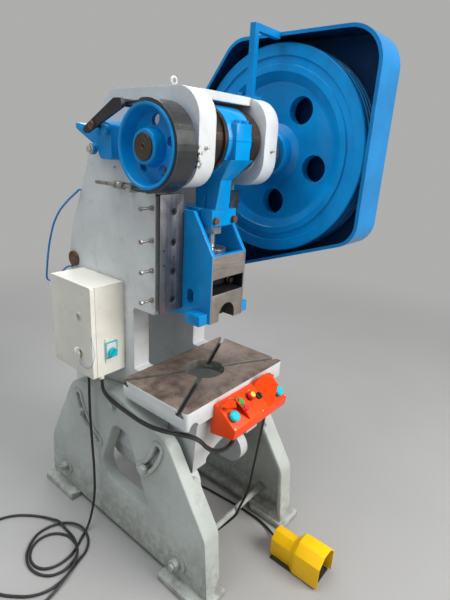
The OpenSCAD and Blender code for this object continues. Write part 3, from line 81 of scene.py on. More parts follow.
# Dark brown for dirt smears and for painted shade in tight corners.
DIRT_AND_SHADE: Colour = (0.085, 0.072, 0.058)
FLOOR_DUST: Colour = (0.16, 0.13, 0.10)
SHELF_DUST: Colour = (0.22, 0.19, 0.16)
OLD_OIL: Colour = (0.035, 0.028, 0.022)
BARE_STEEL: Colour = (0.55, 0.54, 0.52)


def srgb(r: int, g: int, b: int) -> Colour:
    """Turns a colour of the usual 0 to 255 kind into linear light.

    Args:
        r: Red, 0 to 255.
        g: Green, 0 to 255.
        b: Blue, 0 to 255.

    Returns:
        The linear colour.
    """
    def lin(v: float) -> float:
        """Returns one channel in linear light."""
        v /= 255
        return v / 12.92 if v <= 0.04045 else ((v + 0.055) / 1.055) ** 2.4
    return lin(r), lin(g), lin(b)


# Materials
class Axis(Enum):
    """The way in which machining marks run."""

    X = (0.04, 1.0, 1.0)
    Y = (1.0, 0.04, 1.0)
    Z = (1.0, 1.0, 0.04)
    NONE = (1.0, 1.0, 1.0)


class Tree:
    """A material's node tree with short calls for its usual nodes."""

    hollow_samples: int = 6
    bevel_samples: int = 4

    def __init__(self, name: str) -> None:
        """Starts a material with a principled shader.

        Args:
            name: The material's name.
        """
        self.material = bpy.data.materials.new(name)
        self.material.use_nodes = True
        self.nodes = self.material.node_tree.nodes
        self.links = self.material.node_tree.links
        self.shader = self.nodes["Principled BSDF"]
        self.place = self.nodes.new("ShaderNodeTexCoord").outputs["Object"]

    def wire(self, value, socket: Socket) -> None:
        """Puts a value into a socket.

        Args:
            value: A number, a colour or another node's output.
            socket: The socket that takes it.
        """
        if isinstance(value, Socket):
            self.links.new(value, socket)
        elif isinstance(value, tuple) and len(value) == 3 and len(socket.default_value) == 4:
            socket.default_value = (*value, 1.0)
        else:
            socket.default_value = value

    def stretched(self, scale: Point) -> Socket:
        """Stretches the object's coordinates.

        Args:
            scale: Factor along each axis.

        Returns:
            The coordinates.
        """
        node = self.nodes.new("ShaderNodeMapping")
        self.wire(self.place, node.inputs["Vector"])
        node.inputs["Scale"].default_value = scale
        return node.outputs["Vector"]

    def noise(self, scale: float, detail: float = 4.0, rough: float = 0.55,
              place: Socket | None = None) -> Socket:
        """Makes a cloudy noise.

        Args:
            scale: Features to a metre.
            detail: Octaves.
            rough: Weight of the finer octaves.
            place: Coordinates, the object's own by default.

        Returns:
            The noise, about 0.5 on average.
        """
        node = self.nodes.new("ShaderNodeTexNoise")
        self.wire(place or self.place, node.inputs["Vector"])
        node.inputs["Scale"].default_value = scale
        node.inputs["Detail"].default_value = detail
        node.inputs["Roughness"].default_value = rough
        return node.outputs["Fac"]

    def step(self, value: Socket, low: float, high: float, to_low: float = 0.0,
             to_high: float = 1.0) -> Socket:
        """Carries a value smoothly from one range to another.

        Args:
            value: The value.
            low: Start of its range.
            high: End of its range.
            to_low: What it becomes at the start.
            to_high: What it becomes at the end.

        Returns:
            The new value.
        """
        node = self.nodes.new("ShaderNodeMapRange")
        node.interpolation_type = "SMOOTHSTEP"
        names = ("Value", "From Min", "From Max", "To Min", "To Max")
        for name, v in zip(names, (value, low, high, to_low, to_high)):
            self.wire(v, node.inputs[name])
        return node.outputs["Result"]

    def math(self, kind: str, a: Socket | float, b: Socket | float) -> Socket:
        """Works out a sum, product or other function of two values.

        Args:
            kind: The function, as the node names it.
            a: The first value.
            b: The second value.

        Returns:
            The result.
        """
        node = self.nodes.new("ShaderNodeMath")
        node.operation = kind
        self.wire(a, node.inputs[0])
        self.wire(b, node.inputs[1])
        return node.outputs[0]

    def mix(self, share: Socket, a: Socket | Colour, b: Socket | Colour) -> Socket:
        """Lays a share of one colour over another.

        Args:
            share: How much of the upper colour shows.
            a: The lower colour.
            b: The upper colour.

        Returns:
            The mixed colour.
        """
        node = self.nodes.new("ShaderNodeMix")
        node.data_type = "RGBA"
        self.wire(share, node.inputs[0])
        self.wire(a, node.inputs[6])
        self.wire(b, node.inputs[7])
        return node.outputs[2]

    def height(self) -> Socket:
        """Reads the height above the floor.

        Returns:
            The height, in metres.
        """
        node = self.nodes.new("ShaderNodeSeparateXYZ")
        self.wire(self.place, node.inputs[0])
        return node.outputs["Z"]

    def hollow(self, reach: float) -> Socket:
        """Finds tight corners.

        Args:
            reach: How far a neighbouring wall is felt, in metres.

        Returns:
            1 in tight corners and 0 in the open.
        """
        node = self.nodes.new("ShaderNodeAmbientOcclusion")
        node.samples = self.hollow_samples
        node.inputs["Distance"].default_value = reach
        return self.step(node.outputs["AO"], 0.35, 0.85, 1.0, 0.0)

    def rounded_normal(self, radius: float) -> Socket:
        """Reads the normal that the surface would have with its edges rounded.

        Args:
            radius: The rounding's radius, in metres.

        Returns:
            The normal.
        """
        bevel = self.nodes.new("ShaderNodeBevel")
        bevel.samples = self.bevel_samples
        bevel.inputs["Radius"].default_value = radius
        return bevel.outputs["Normal"]

    def edge(self, radius: float) -> Socket:
        """Finds the piece's edges.

        Args:
            radius: The band's half width, in metres.

        Returns:
            A value above 0 on the edges.
        """
        rounded = self.rounded_normal(radius)
        face = self.nodes.new("ShaderNodeNewGeometry")
        dot = self.nodes.new("ShaderNodeVectorMath")
        dot.operation = "DOT_PRODUCT"
        self.wire(rounded, dot.inputs[0])
        self.wire(face.outputs["Normal"], dot.inputs[1])
        return self.step(dot.outputs["Value"], 0.99, 0.80)

    def near(self, centre: Point, radius: float) -> Socket:
        """Marks the surroundings of a place.

        Args:
            centre: The place.
            radius: How far its surroundings reach, in metres.

        Returns:
            1 at the place and 0 beyond the radius.
        """
        node = self.nodes.new("ShaderNodeVectorMath")
        node.operation = "DISTANCE"
        self.wire(self.place, node.inputs[0])
        node.inputs[1].default_value = centre
        return self.step(node.outputs["Value"], radius * 0.35, radius, 1.0, 0.0)

    def surface(self, colour: Socket, rough: Socket | float, bumps: Sequence[tuple[Socket, float]],
                round_edge: float = 0.0) -> None:
        """Wires colour, roughness and relief to the shader.

        Args:
            colour: The base colour.
            rough: The roughness.
            bumps: Pairs of a height and its depth in metres.
            round_edge: Radius by which hard edges are softened, in metres.
        """
        self.wire(colour, self.shader.inputs["Base Color"])
        self.wire(rough, self.shader.inputs["Roughness"])
        normal = self.rounded_normal(round_edge) if round_edge else None
        for value, depth in bumps:
            bump = self.nodes.new("ShaderNodeBump")
            bump.inputs["Strength"].default_value = 1.0
            bump.inputs["Distance"].default_value = depth
            self.wire(value, bump.inputs["Height"])
            if normal is not None:
                self.wire(normal, bump.inputs["Normal"])
            normal = bump.outputs["Normal"]
        if normal is not None:
            self.wire(normal, self.shader.inputs["Normal"])


@dataclass(frozen=True)
class Paint:
    """Brushed or sprayed gloss paint on a casting or on sheet."""

    name: str
    colour: Colour
    roughness: float = 0.30
    specular: float = 0.26
    mottle: float = 0.10
    # Amount of dirt smears and of painted shade in tight corners.
    grime_and_corner_shade: float = 0.45
    chips: float = 0.0
    under: Colour = (0.045, 0.038, 0.032)
    under_roughness: float = 0.7
    chip_width: float = 0.0035
    thickness: float = 0.0006
    skin: float = 0.0006
    skin_scale: float = 130.0
    ripple: float = 0.0012
    dust_top: float = 0.0
    round_edge: float = 0.002
    patches: tuple[tuple[Point, float], ...] = ()

    def base(self, t: Tree) -> Socket:
        """Makes the paint's colour, clouded, dirtied and darkened by painted shade in tight corners.

        Args:
            t: The material's tree.

        Returns:
            The colour.
        """
        cloud = t.noise(5.0, 5.0, 0.6)
        dark = tuple(c * (1 - 2.2 * self.mottle) for c in self.colour)
        light = tuple(min(1.0, c * (1 + self.mottle)) for c in self.colour)
        colour = t.mix(t.step(cloud, 0.3, 0.7), dark, light)
        smear = t.math("MULTIPLY", t.step(t.noise(16.0, 6.0, 0.7), 0.52, 0.75), self.grime_and_corner_shade * 0.45)
        colour = t.mix(smear, colour, DIRT_AND_SHADE)
        # Painted shade: tight corners, found by ambient occlusion, darken towards the dirt-and-shade colour.
        corner = t.math("MULTIPLY", t.hollow(0.03), t.step(t.noise(30.0), 0.3, 0.7, 0.35, 1.0))
        colour = t.mix(t.math("MULTIPLY", corner, self.grime_and_corner_shade), colour, DIRT_AND_SHADE)
        if self.dust_top:
            fade = t.step(t.height(), 0.0, self.dust_top, 1.0, 0.0)
            low = t.math("MULTIPLY", fade, t.step(t.noise(22.0, 6.0, 0.7), 0.35, 0.65))
            colour = t.mix(t.math("MULTIPLY", low, 0.6), colour, FLOOR_DUST)
        return colour

    def worn(self, t: Tree) -> Socket | None:
        """Finds where the paint is gone: on the edges and at the patches.

        Args:
            t: The material's tree.

        Returns:
            1 where it is gone, or None if it is whole everywhere.
        """
        worn = None
        if self.chips:
            less = 0.2 * self.chips
            edge = t.edge(self.chip_width)
            flakes = t.step(t.noise(60.0, 5.0, 0.75), 0.66 - less, 0.70 - less)
            worn = t.math("MULTIPLY", edge, flakes)
        for centre, radius in self.patches:
            spot = t.math("MULTIPLY", t.near(centre, radius), t.step(t.noise(62.0, 4.0, 0.6), 0.47, 0.49))
            worn = t.math("MAXIMUM", worn, spot) if worn is not None else spot
        return worn

    def build(self) -> bpy.types.Material:
        """Makes the material.

        Returns:
            The paint as a material.
        """
        t = Tree(self.name)
        colour = self.base(t)
        rough = t.step(t.noise(9.0, 4.0), 0.3, 0.7, self.roughness * 0.8, self.roughness * 1.35)
        bumps = [(t.noise(self.skin_scale, 3.0), self.skin), (t.noise(11.0, 2.0), self.ripple)]
        worn = self.worn(t)
        if worn is not None:
            colour = t.mix(worn, colour, self.under)
            rough = t.step(worn, 0.0, 1.0, self.roughness, self.under_roughness)
            bumps.append((t.math("SUBTRACT", 1.0, worn), self.thickness))
        t.surface(colour, rough, bumps, self.round_edge)
        t.shader.inputs["Specular IOR Level"].default_value = self.specular
        return t.material


@dataclass(frozen=True)
class Metal:
    """Bare steel, iron or brass with machining marks, oil and rust."""

    name: str
    colour: Colour
    roughness: float = 0.35
    marks: Axis = Axis.NONE
    mark_depth: float = 0.0002
    mark_scale: float = 220.0
    rust: float = 0.0
    rust_colour: Colour = (0.16, 0.062, 0.022)
    oil: float = 0.3
    metallic: float = 0.9
    round_edge: float = 0.0008
    worn_edge: float = 0.0
    streaks: float = 0.14
    pits: float = 0.0001

    def build(self) -> bpy.types.Material:
        """Makes the material.

        Returns:
            The metal as a material.
        """
        t = Tree(self.name)
        along = t.stretched(self.marks.value)
        streak = t.noise(self.mark_scale, 3.0, 0.6, along)
        dark = tuple(c * (1 - self.streaks) for c in self.colour)
        light = tuple(min(1.0, c * (1 + 0.7 * self.streaks)) for c in self.colour)
        colour = t.mix(t.step(streak, 0.25, 0.75), dark, light)
        stain = t.step(t.noise(14.0, 6.0, 0.65), 0.45, 0.70)
        colour = t.mix(t.math("MULTIPLY", stain, self.oil), colour, OLD_OIL)
        rough = t.step(streak, 0.3, 0.7, self.roughness * 0.85, self.roughness * 1.2)
        if self.worn_edge:
            shine = t.math("MULTIPLY", t.edge(0.002), self.worn_edge)
            colour = t.mix(shine, colour, BARE_STEEL)
        if self.rust:
            spots = t.step(t.noise(38.0, 8.0, 0.75), 0.62 - 0.22 * self.rust, 0.72 - 0.18 * self.rust)
            deep = tuple(c * 0.4 for c in self.rust_colour)
            colour = t.mix(spots, colour, t.mix(t.noise(120.0), self.rust_colour, deep))
            rough = t.math("MAXIMUM", rough, t.math("MULTIPLY", spots, 0.75))
            t.wire(t.step(spots, 0.0, 1.0, self.metallic, 0.1), t.shader.inputs["Metallic"])
        else:
            t.shader.inputs["Metallic"].default_value = self.metallic
        bumps = [(streak, self.mark_depth), (t.noise(400.0, 2.0), self.pits)]
        t.surface(colour, rough, bumps, self.round_edge)
        return t.material


@dataclass(frozen=True)
class Moulded:
    """Plastic or rubber with a fine grain, some workshop dust and painted shade in tight corners."""

    name: str
    colour: Colour
    roughness: float = 0.42
    dust: float = 0.25
    grain: float = 0.00015
    round_edge: float = 0.0008

    def build(self) -> bpy.types.Material:
        """Makes the material.

        Returns:
            The moulding as a material.
        """
        t = Tree(self.name)
        soft = t.step(t.noise(18.0, 5.0, 0.65), 0.35, 0.75)
        colour = t.mix(t.math("MULTIPLY", soft, self.dust), self.colour, SHELF_DUST)
        # Painted shade: tight corners, found by ambient occlusion, darken to a quarter of the colour.
        corner = t.math("MULTIPLY", t.hollow(0.012), 0.5)
        colour = t.mix(corner, colour, tuple(c * 0.25 for c in self.colour))
        rough = t.step(t.noise(25.0), 0.3, 0.7, self.roughness * 0.85, self.roughness * 1.3)
        t.surface(colour, rough, [(t.noise(700.0, 2.0), self.grain)], self.round_edge)
        return t.material


class Finish(Enum):
    """Every finish of the press."""

    FRAME = Paint("frame_grey", srgb(212, 216, 217), roughness=0.36, mottle=0.05, grime_and_corner_shade=0.40, chips=0.25,
                  skin=0.0003, ripple=0.0022, round_edge=0.006,
                  patches=(((-0.197, -0.303, 1.532), 0.026), ((-0.197, -0.303, 1.500), 0.022)))
    LEG = Paint("leg_grey", srgb(185, 192, 187), roughness=0.34, mottle=0.06, grime_and_corner_shade=0.42, chips=0.35,
                skin=0.0004, ripple=0.0026, dust_top=0.30, round_edge=0.007)
    BLUE = Paint("casting_blue", srgb(4, 146, 218), roughness=0.24, mottle=0.10, grime_and_corner_shade=0.30, chips=0.15,
                 skin=0.0002, ripple=0.0014, round_edge=0.003)
    BLUE_SHEET = Paint("sheet_blue", srgb(4, 124, 190), roughness=0.24, mottle=0.08, grime_and_corner_shade=0.25, chips=0.12,
                       skin=0.0001, ripple=0.0016, round_edge=0.0012)
    # Painted shade: a darker, duller copy of the sheet blue for the guard's inside faces.
    BLUE_PAINTED_SHADE = Paint("guard_painted_shade", srgb(2, 62, 112), roughness=0.40, specular=0.15, mottle=0.10,
                        grime_and_corner_shade=0.45, skin=0.0002, ripple=0.0010, round_edge=0.0012)
    BOX = Paint("box_beige", srgb(232, 229, 219), roughness=0.42, mottle=0.04, grime_and_corner_shade=0.30,
                skin=0.00012, skin_scale=500.0, ripple=0.0004, round_edge=0.0025)
    ORANGE = Paint("station_orange", srgb(252, 74, 8), roughness=0.34, mottle=0.06, grime_and_corner_shade=0.25, chips=0.2,
                   skin=0.00008, ripple=0.0006, round_edge=0.002)
    YELLOW = Paint("hood_yellow", srgb(255, 196, 10), roughness=0.36, mottle=0.05, grime_and_corner_shade=0.20, chips=0.25,
                   skin=0.0001, ripple=0.0006, round_edge=0.003)
    GROUND = Metal("ground_steel", (0.17, 0.17, 0.185), roughness=0.42, marks=Axis.Z, rust=0.14, oil=0.4,
                    metallic=0.8)
    TURNED = Metal("turned_steel", (0.40, 0.38, 0.36), roughness=0.34, marks=Axis.X, rust=0.45, oil=0.4)
    BROWNED = Metal("browned_steel", (0.10, 0.075, 0.062), roughness=0.34, marks=Axis.X,
                    mark_depth=0.00008, rust=0.30, oil=0.4, rust_colour=(0.13, 0.055, 0.025))
    MILLED = Metal("milled_steel", (0.42, 0.37, 0.33), roughness=0.38, marks=Axis.X, mark_scale=420.0,
                   mark_depth=0.00008, rust=0.08, oil=0.2, streaks=0.08)
    BORED = Metal("bored_iron", (0.20, 0.21, 0.19), roughness=0.48, marks=Axis.Z, rust=0.25, oil=0.55,
                  metallic=0.5)
    ZINC = Metal("zinc_plate", (0.60, 0.58, 0.52), roughness=0.28, rust=0.06, oil=0.15)
    RUSTY = Metal("rusty_steel", (0.20, 0.13, 0.09), roughness=0.55, rust=0.9, oil=0.2, metallic=0.6)
    BRIGHT = Metal("bright_steel", (0.55, 0.54, 0.52), roughness=0.26, marks=Axis.Z, rust=0.12, oil=0.2)
    PLATE = Metal("bed_plate", (0.31, 0.235, 0.190), roughness=0.46, mark_scale=26.0, mark_depth=0.0001,
                  rust=0.22, oil=0.5, metallic=0.7, round_edge=0.0015, streaks=0.28)
    BLACKED = Metal("blacked_steel", (0.035, 0.035, 0.04), roughness=0.38, rust=0.25, oil=0.1, metallic=0.6,
                    worn_edge=0.35)
    BAND = Metal("band_steel", (0.075, 0.077, 0.079), roughness=0.32, mark_depth=0.00002, mark_scale=12.0,
                 oil=0.12, metallic=0.75, worn_edge=0.45, streaks=0.10)
    BRASS = Metal("brass", (0.62, 0.45, 0.20), roughness=0.34, oil=0.45)
    BLACK = Moulded("black_moulding", (0.018, 0.018, 0.018), roughness=0.45, dust=0.10)
    JACKET = Moulded("cord_jacket", (0.012, 0.012, 0.013), roughness=0.5, dust=0.05)
    BELT = Moulded("belt_rubber", (0.016, 0.016, 0.016), roughness=0.75, dust=0.25)
    CYAN = Moulded("cyan_moulding", srgb(0, 190, 205), roughness=0.30, dust=0.06)
    GREEN = Moulded("green_moulding", srgb(20, 160, 80), roughness=0.30, dust=0.12)
    RED = Moulded("red_moulding", srgb(205, 30, 28), roughness=0.30, dust=0.10)
    LEMON = Moulded("lemon_moulding", srgb(240, 205, 40), roughness=0.35, dust=0.12)
    GREY_PLASTIC = Moulded("grey_moulding", srgb(120, 122, 124), roughness=0.5, dust=0.15)
    WHITE_PLASTIC = Moulded("white_moulding", srgb(226, 226, 222), roughness=0.38, dust=0.08)
    HOSE = Moulded("hose_blue", srgb(40, 130, 200), roughness=0.30, dust=0.10)


class Stock:
    """Builds each finish once and hands it out."""

    def __init__(self) -> None:
        """Starts with nothing built."""
        self.made: dict[Finish, bpy.types.Material] = {}

    def get(self, finish: Finish) -> bpy.types.Material:
        """Finds a finish's material, and builds it the first time.

        Args:
            finish: The finish.

        Returns:
            The material.
        """
        if finish not in self.made:
            self.made[finish] = finish.value.build()
        return self.made[finish]

    def dress(self, piece: bpy.types.Object, finish: Finish) -> bpy.types.Object:
        """Gives a piece one finish all over.

        Args:
            piece: The piece.
            finish: Its finish.

        Returns:
            The same piece.
        """
        piece.data.materials.clear()
        piece.data.materials.append(self.get(finish))
        return piece


STOCK = Stock()


# Mesh tools
def piece_from(name: str, bm: BMesh, body: str, finish: Finish,
               smooth: float = 35.0) -> bpy.types.Object:
    """Turns a bmesh into a dressed piece that rides on a body.

    Args:
        name: The piece's name.
        bm: The mesh, freed here.
        body: The CAD body that it rides on.
        finish: Its finish.
        smooth: Edges sharper than this many degrees stay hard.

    Returns:
        The piece.
    """
    bmesh.ops.recalc_face_normals(bm, faces=bm.faces)
    for f in bm.faces:
        f.smooth = True
    for e in bm.edges:
        if len(e.link_faces) == 2 and e.calc_face_angle(0.0) > math.radians(smooth):
            e.smooth = False
    mesh = bpy.data.meshes.new(name)
    bm.to_mesh(mesh)
    bm.free()
    piece = bpy.data.objects.new(name, mesh)
    bpy.context.scene.collection.objects.link(piece)
    STOCK.dress(piece, finish)
    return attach(piece, body)


def frame_at(centre: Point, axis: Point) -> Matrix:
    """Places a piece so that its own Z is turned to an axis.

    Args:
        centre: Where its origin goes.
        axis: Where its Z points.

    Returns:
        The placing.
    """
    turn = Vector(axis).normalized().to_track_quat("Z", "Y").to_matrix().to_4x4()
    return Matrix.Translation(Vector(centre)) @ turn


def around(radius: float, angle: float, z: float = 0.0) -> Vector:
    """Returns the point at an angle, in radians, on a circle about Z."""
    return Vector((radius * math.cos(angle), radius * math.sin(angle), z))


def lathe(bm: BMesh, profile: Profile, at: Matrix, steps: int = 40, closed: bool = True) -> None:
    """Adds a turned form to a mesh.

    Args:
        bm: The mesh to add to.
        profile: Radius and height pairs from bottom to top; a radius of 0 closes an end.
        at: Placing of the form.
        steps: Facets round it.
        closed: True if a profile that ends off the axis is capped.
    """
    rings: list[list[bmesh.types.BMVert]] = []
    for r, z in profile:
        if r <= 1e-6:
            rings.append([bm.verts.new(at @ Vector((0, 0, z)))])
        else:
            rings.append([bm.verts.new(at @ around(r, 2 * math.pi * k / steps, z)) for k in range(steps)])
    for low, high in zip(rings, rings[1:]):
        for k in range(steps):
            n = (k + 1) % steps
            quad = [low[k % len(low)], low[n % len(low)], high[n % len(high)], high[k % len(high)]]
            seen = list(dict.fromkeys(quad))
            if len(seen) > 2:
                bm.faces.new(seen)
    if closed:
        for ring in (rings[0], rings[-1]):
            if len(ring) > 1:
                bm.faces.new(ring)


def hex_head(bm: BMesh, across: float, height: float, at: Matrix, crown: float = 0.86) -> None:
    """Adds a hexagon head with a chamfered crown.

    Args:
        bm: The mesh to add to.
        across: Width across flats.
        height: Height of the head.
        at: Placing, with the seat at Z = 0.
        crown: Share of the height and of the width at which the chamfer starts and ends.
    """
    r = across / 2 / math.cos(math.radians(30))
    angles = [math.radians(60 * k) for k in range(6)]
    rings = ((r, 0.0), (r, height * crown), (r * crown, height))
    low, mid, top = [[bm.verts.new(at @ around(radius, a, z)) for a in angles] for radius, z in rings]
    for a, b in ((low, mid), (mid, top)):
        for k in range(6):
            bm.faces.new([a[k], a[(k + 1) % 6], b[(k + 1) % 6], b[k]])
    bm.faces.new(top)
    bm.faces.new(low)


def slab(bm: BMesh, size: Point, at: Matrix, edge: float = 0.001, segments: int = 2) -> None:
    """Adds a block with rounded edges, centred on its placing.

    Args:
        bm: The mesh to add to.
        size: Lengths along the placing's axes.
        at: The placing.
        edge: Radius of the edges.
        segments: Facets over each edge.
    """
    made = bmesh.ops.create_cube(bm, size=1.0, matrix=at @ Matrix.Diagonal((*size, 1.0)))
    edges = list({e for v in made["verts"] for e in v.link_edges})
    if edge:
        bmesh.ops.bevel(bm, geom=edges, offset=edge, segments=segments, profile=0.5, affect="EDGES",
                        clamp_overlap=True)


def smooth_route(points: Iterable[Point], per_step: int = 6) -> list[Vector]:
    """Draws a smooth line through given points.

    Args:
        points: The route's points, in metres.
        per_step: Points made between each two.

    Returns:
        The line's points.
    """
    p = [Vector(q) for q in points]
    line: list[Vector] = []
    for i in range(len(p) - 1):
        a, b, c, d = p[max(i - 1, 0)], p[i], p[i + 1], p[min(i + 2, len(p) - 1)]
        square = 2 * a - 5 * b + 4 * c - d
        cube = 3 * b - a - 3 * c + d
        for k in range(per_step):
            t = k / per_step
            line.append(0.5 * ((2 * b) + (c - a) * t + square * t * t + cube * t ** 3))
    return [*line, p[-1]]


def run_length(line: Sequence[Vector]) -> float:
    """Returns a line's length."""
    return sum((b - a).length for a, b in zip(line, line[1:]))


def cord_curve(name: str, line: Sequence[Vector], diameter: float, body: str,
               finish: Finish) -> bpy.types.Object:
    """Makes a round cord along a line.

    Args:
        name: The piece's name.
        line: Its centreline.
        diameter: Its diameter.
        body: The body that it rides on.
        finish: Its finish.

    Returns:
        The cord, a curve of one open spline.
    """
    curve = bpy.data.curves.new(name, "CURVE")
    curve.dimensions = "3D"
    curve.bevel_depth = diameter / 2
    curve.bevel_resolution = 3
    curve.use_fill_caps = True
    spline = curve.splines.new("POLY")
    spline.points.add(len(line) - 1)
    for point, place in zip(spline.points, line):
        point.co = (*place, 1.0)
    spline.use_smooth = True
    piece = bpy.data.objects.new(name, curve)
    bpy.context.scene.collection.objects.link(piece)
    STOCK.dress(piece, finish)
    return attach(piece, body)


def bending_cord(name: str, line: Sequence[Vector], diameter: float, finish: Finish) -> bpy.types.Object:
    """Makes a cord that hangs from the frame to the floor.

    Args:
        name: The piece's name.
        line: Its centreline, from the frame down.
        diameter: Its diameter.
        finish: Its finish.

    Returns:
        The cord, a tube of mesh.
    """
    curve = cord_curve(f"{name}_line", line, diameter, "stand", finish)
    bpy.context.view_layer.update()
    mesh = bpy.data.meshes.new_from_object(curve)
    bpy.data.objects.remove(curve)
    mesh.name = name
    tube = bpy.data.objects.new(name, mesh)
    bpy.context.scene.collection.objects.link(tube)
    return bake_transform(tube)


@dataclass(frozen=True)
class Zone:
    """A part of a solid's surface with a finish of its own.

    Its faces lie in a box. They may also have to face one way, or look towards an axis given by Y and Z.
    """

    finish: Finish
    low: Point
    high: Point
    normal: Point | None = None
    towards: tuple[float, float] | None = None

    def holds(self, face: bmesh.types.BMFace) -> bool:
        """Tells whether a face is in the zone.

        Args:
            face: The face.

        Returns:
            True if it lies in the box and looks the zone's way.
        """
        if self.normal is not None and face.normal.dot(Vector(self.normal)) < 0.9:
            return False
        c = face.calc_center_median()
        if self.towards is not None:
            inward = Vector((0.0, self.towards[0] - c.y, self.towards[1] - c.z)).normalized()
            if face.normal.dot(inward) < 0.3:
                return False
        return all(a <= v <= b for a, v, b in zip(self.low, c, self.high))


@dataclass
class Softened:
    """A CAD solid whose hard edges are rounded over, as a casting's or a forging's are."""

    node: str
    finish: Finish
    body: str
    width: float = 0.002
    segments: int = 2
    sharp: float = 32.0
    zones: tuple[Zone, ...] = ()
    seam_z: float | None = None
    tries: int = 6

    def clean_mesh(self) -> BMesh:
        """Joins the coplanar triangles of the CAD mesh.

        Returns:
            The joined mesh.
        """
        bm = bmesh.new()
        bm.from_mesh(NODES[self.node].data)
        bmesh.ops.remove_doubles(bm, verts=bm.verts, dist=1e-6)
        bmesh.ops.dissolve_limit(bm, angle_limit=math.radians(0.5), verts=bm.verts, edges=bm.edges)
        return bm

    def may_round(self, edge: bmesh.types.BMEdge, trouble: Sequence[Vector]) -> bool:
        """Tells whether an edge is to be rounded.

        Args:
            edge: The edge.
            trouble: Places near which a rounding would fold.

        Returns:
            True if it is hard, off the seam and away from trouble.
        """
        if len(edge.link_faces) != 2 or edge.calc_face_angle(0.0) <= math.radians(self.sharp):
            return False
        ends = [v.co for v in edge.verts]
        if self.seam_z is not None and all(abs(c.z - self.seam_z) < 0.001 for c in ends):
            return False
        return not any((c - t).length < 2.5 * self.width for c in ends for t in trouble)

    def faults(self, bm: BMesh, skin: BVHTree) -> list[Vector]:
        """Finds where a rounded mesh leaves the CAD surface or turns inside out.

        Args:
            bm: The rounded mesh.
            skin: The CAD surface.

        Returns:
            The corners about each fault.
        """
        found = []
        for v in bm.verts:
            near = skin.find_nearest(v.co)
            if near[3] > 0.7 * self.width:
                found += [e.other_vert(v).co.copy() for e in v.link_edges]
        for f in bm.faces:
            near = skin.find_nearest(f.calc_center_median())
            if near[3] < 0.2 * self.width and near[1].dot(f.normal) < -0.3:
                found += [v.co.copy() for v in f.verts]
        return found

    @staticmethod
    def split(bm: BMesh) -> BMesh:
        """Cuts a mesh's many-sided faces into triangles and returns it."""
        bmesh.ops.triangulate(bm, faces=[f for f in bm.faces if len(f.verts) > 4])
        bm.normal_update()
        return bm

    def rounded(self) -> BMesh:
        """Rounds the hard edges over, wherever that leaves no fold.

        Returns:
            The rounded mesh, or the CAD mesh where no try is free of folds.
        """
        trouble: list[Vector] = []
        for attempt in range(self.tries):
            bm = self.clean_mesh()
            if not self.width:
                return self.split(bm)
            skin = BVHTree.FromBMesh(bm)
            hard = [e for e in bm.edges if self.may_round(e, trouble)]
            bmesh.ops.bevel(bm, geom=hard, offset=self.width, segments=self.segments, profile=0.5,
                            affect="EDGES", clamp_overlap=False, loop_slide=True)
            found = self.faults(self.split(bm), skin)
            if not found:
                return bm
            log.info("%s: %d folds at attempt %d", self.node, len(found), attempt)
            trouble += found
            bm.free()
        return self.split(self.clean_mesh())

    def build(self) -> bpy.types.Object:
        """Makes the rounded copy in place of the CAD solid.

        Returns:
            The copy.
        """
        bm = self.rounded()
        kinds = [next((k for k, zone in enumerate(self.zones, 1) if zone.holds(f)), 0) for f in bm.faces]
        piece = piece_from(f"{self.node}_form", bm, self.body, self.finish, smooth=28.0)
        for zone in self.zones:
            piece.data.materials.append(STOCK.get(zone.finish))
        piece.data.polygons.foreach_set("material_index", kinds)
        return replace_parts(piece, self.node)


# Camera and stage
@dataclass(frozen=True)
class Lamp:
    """One soft square lamp."""

    name: str
    place: Point
    aim: Point
    size: float
    power: float
    tint: Colour = (1.0, 1.0, 1.0)

    def build(self) -> None:
        """Hangs the lamp and points it."""
        data = bpy.data.lights.new(self.name, "AREA")
        data.shape = "SQUARE"
        data.size = self.size
        data.energy = self.power
        data.color = self.tint
        lamp = bpy.data.objects.new(self.name, data)
        way = Vector(self.aim) - Vector(self.place)
        lamp.matrix_world = Matrix.Translation(self.place) @ way.to_track_quat("-Z", "Y").to_matrix().to_4x4()
        bpy.context.scene.collection.objects.link(lamp)


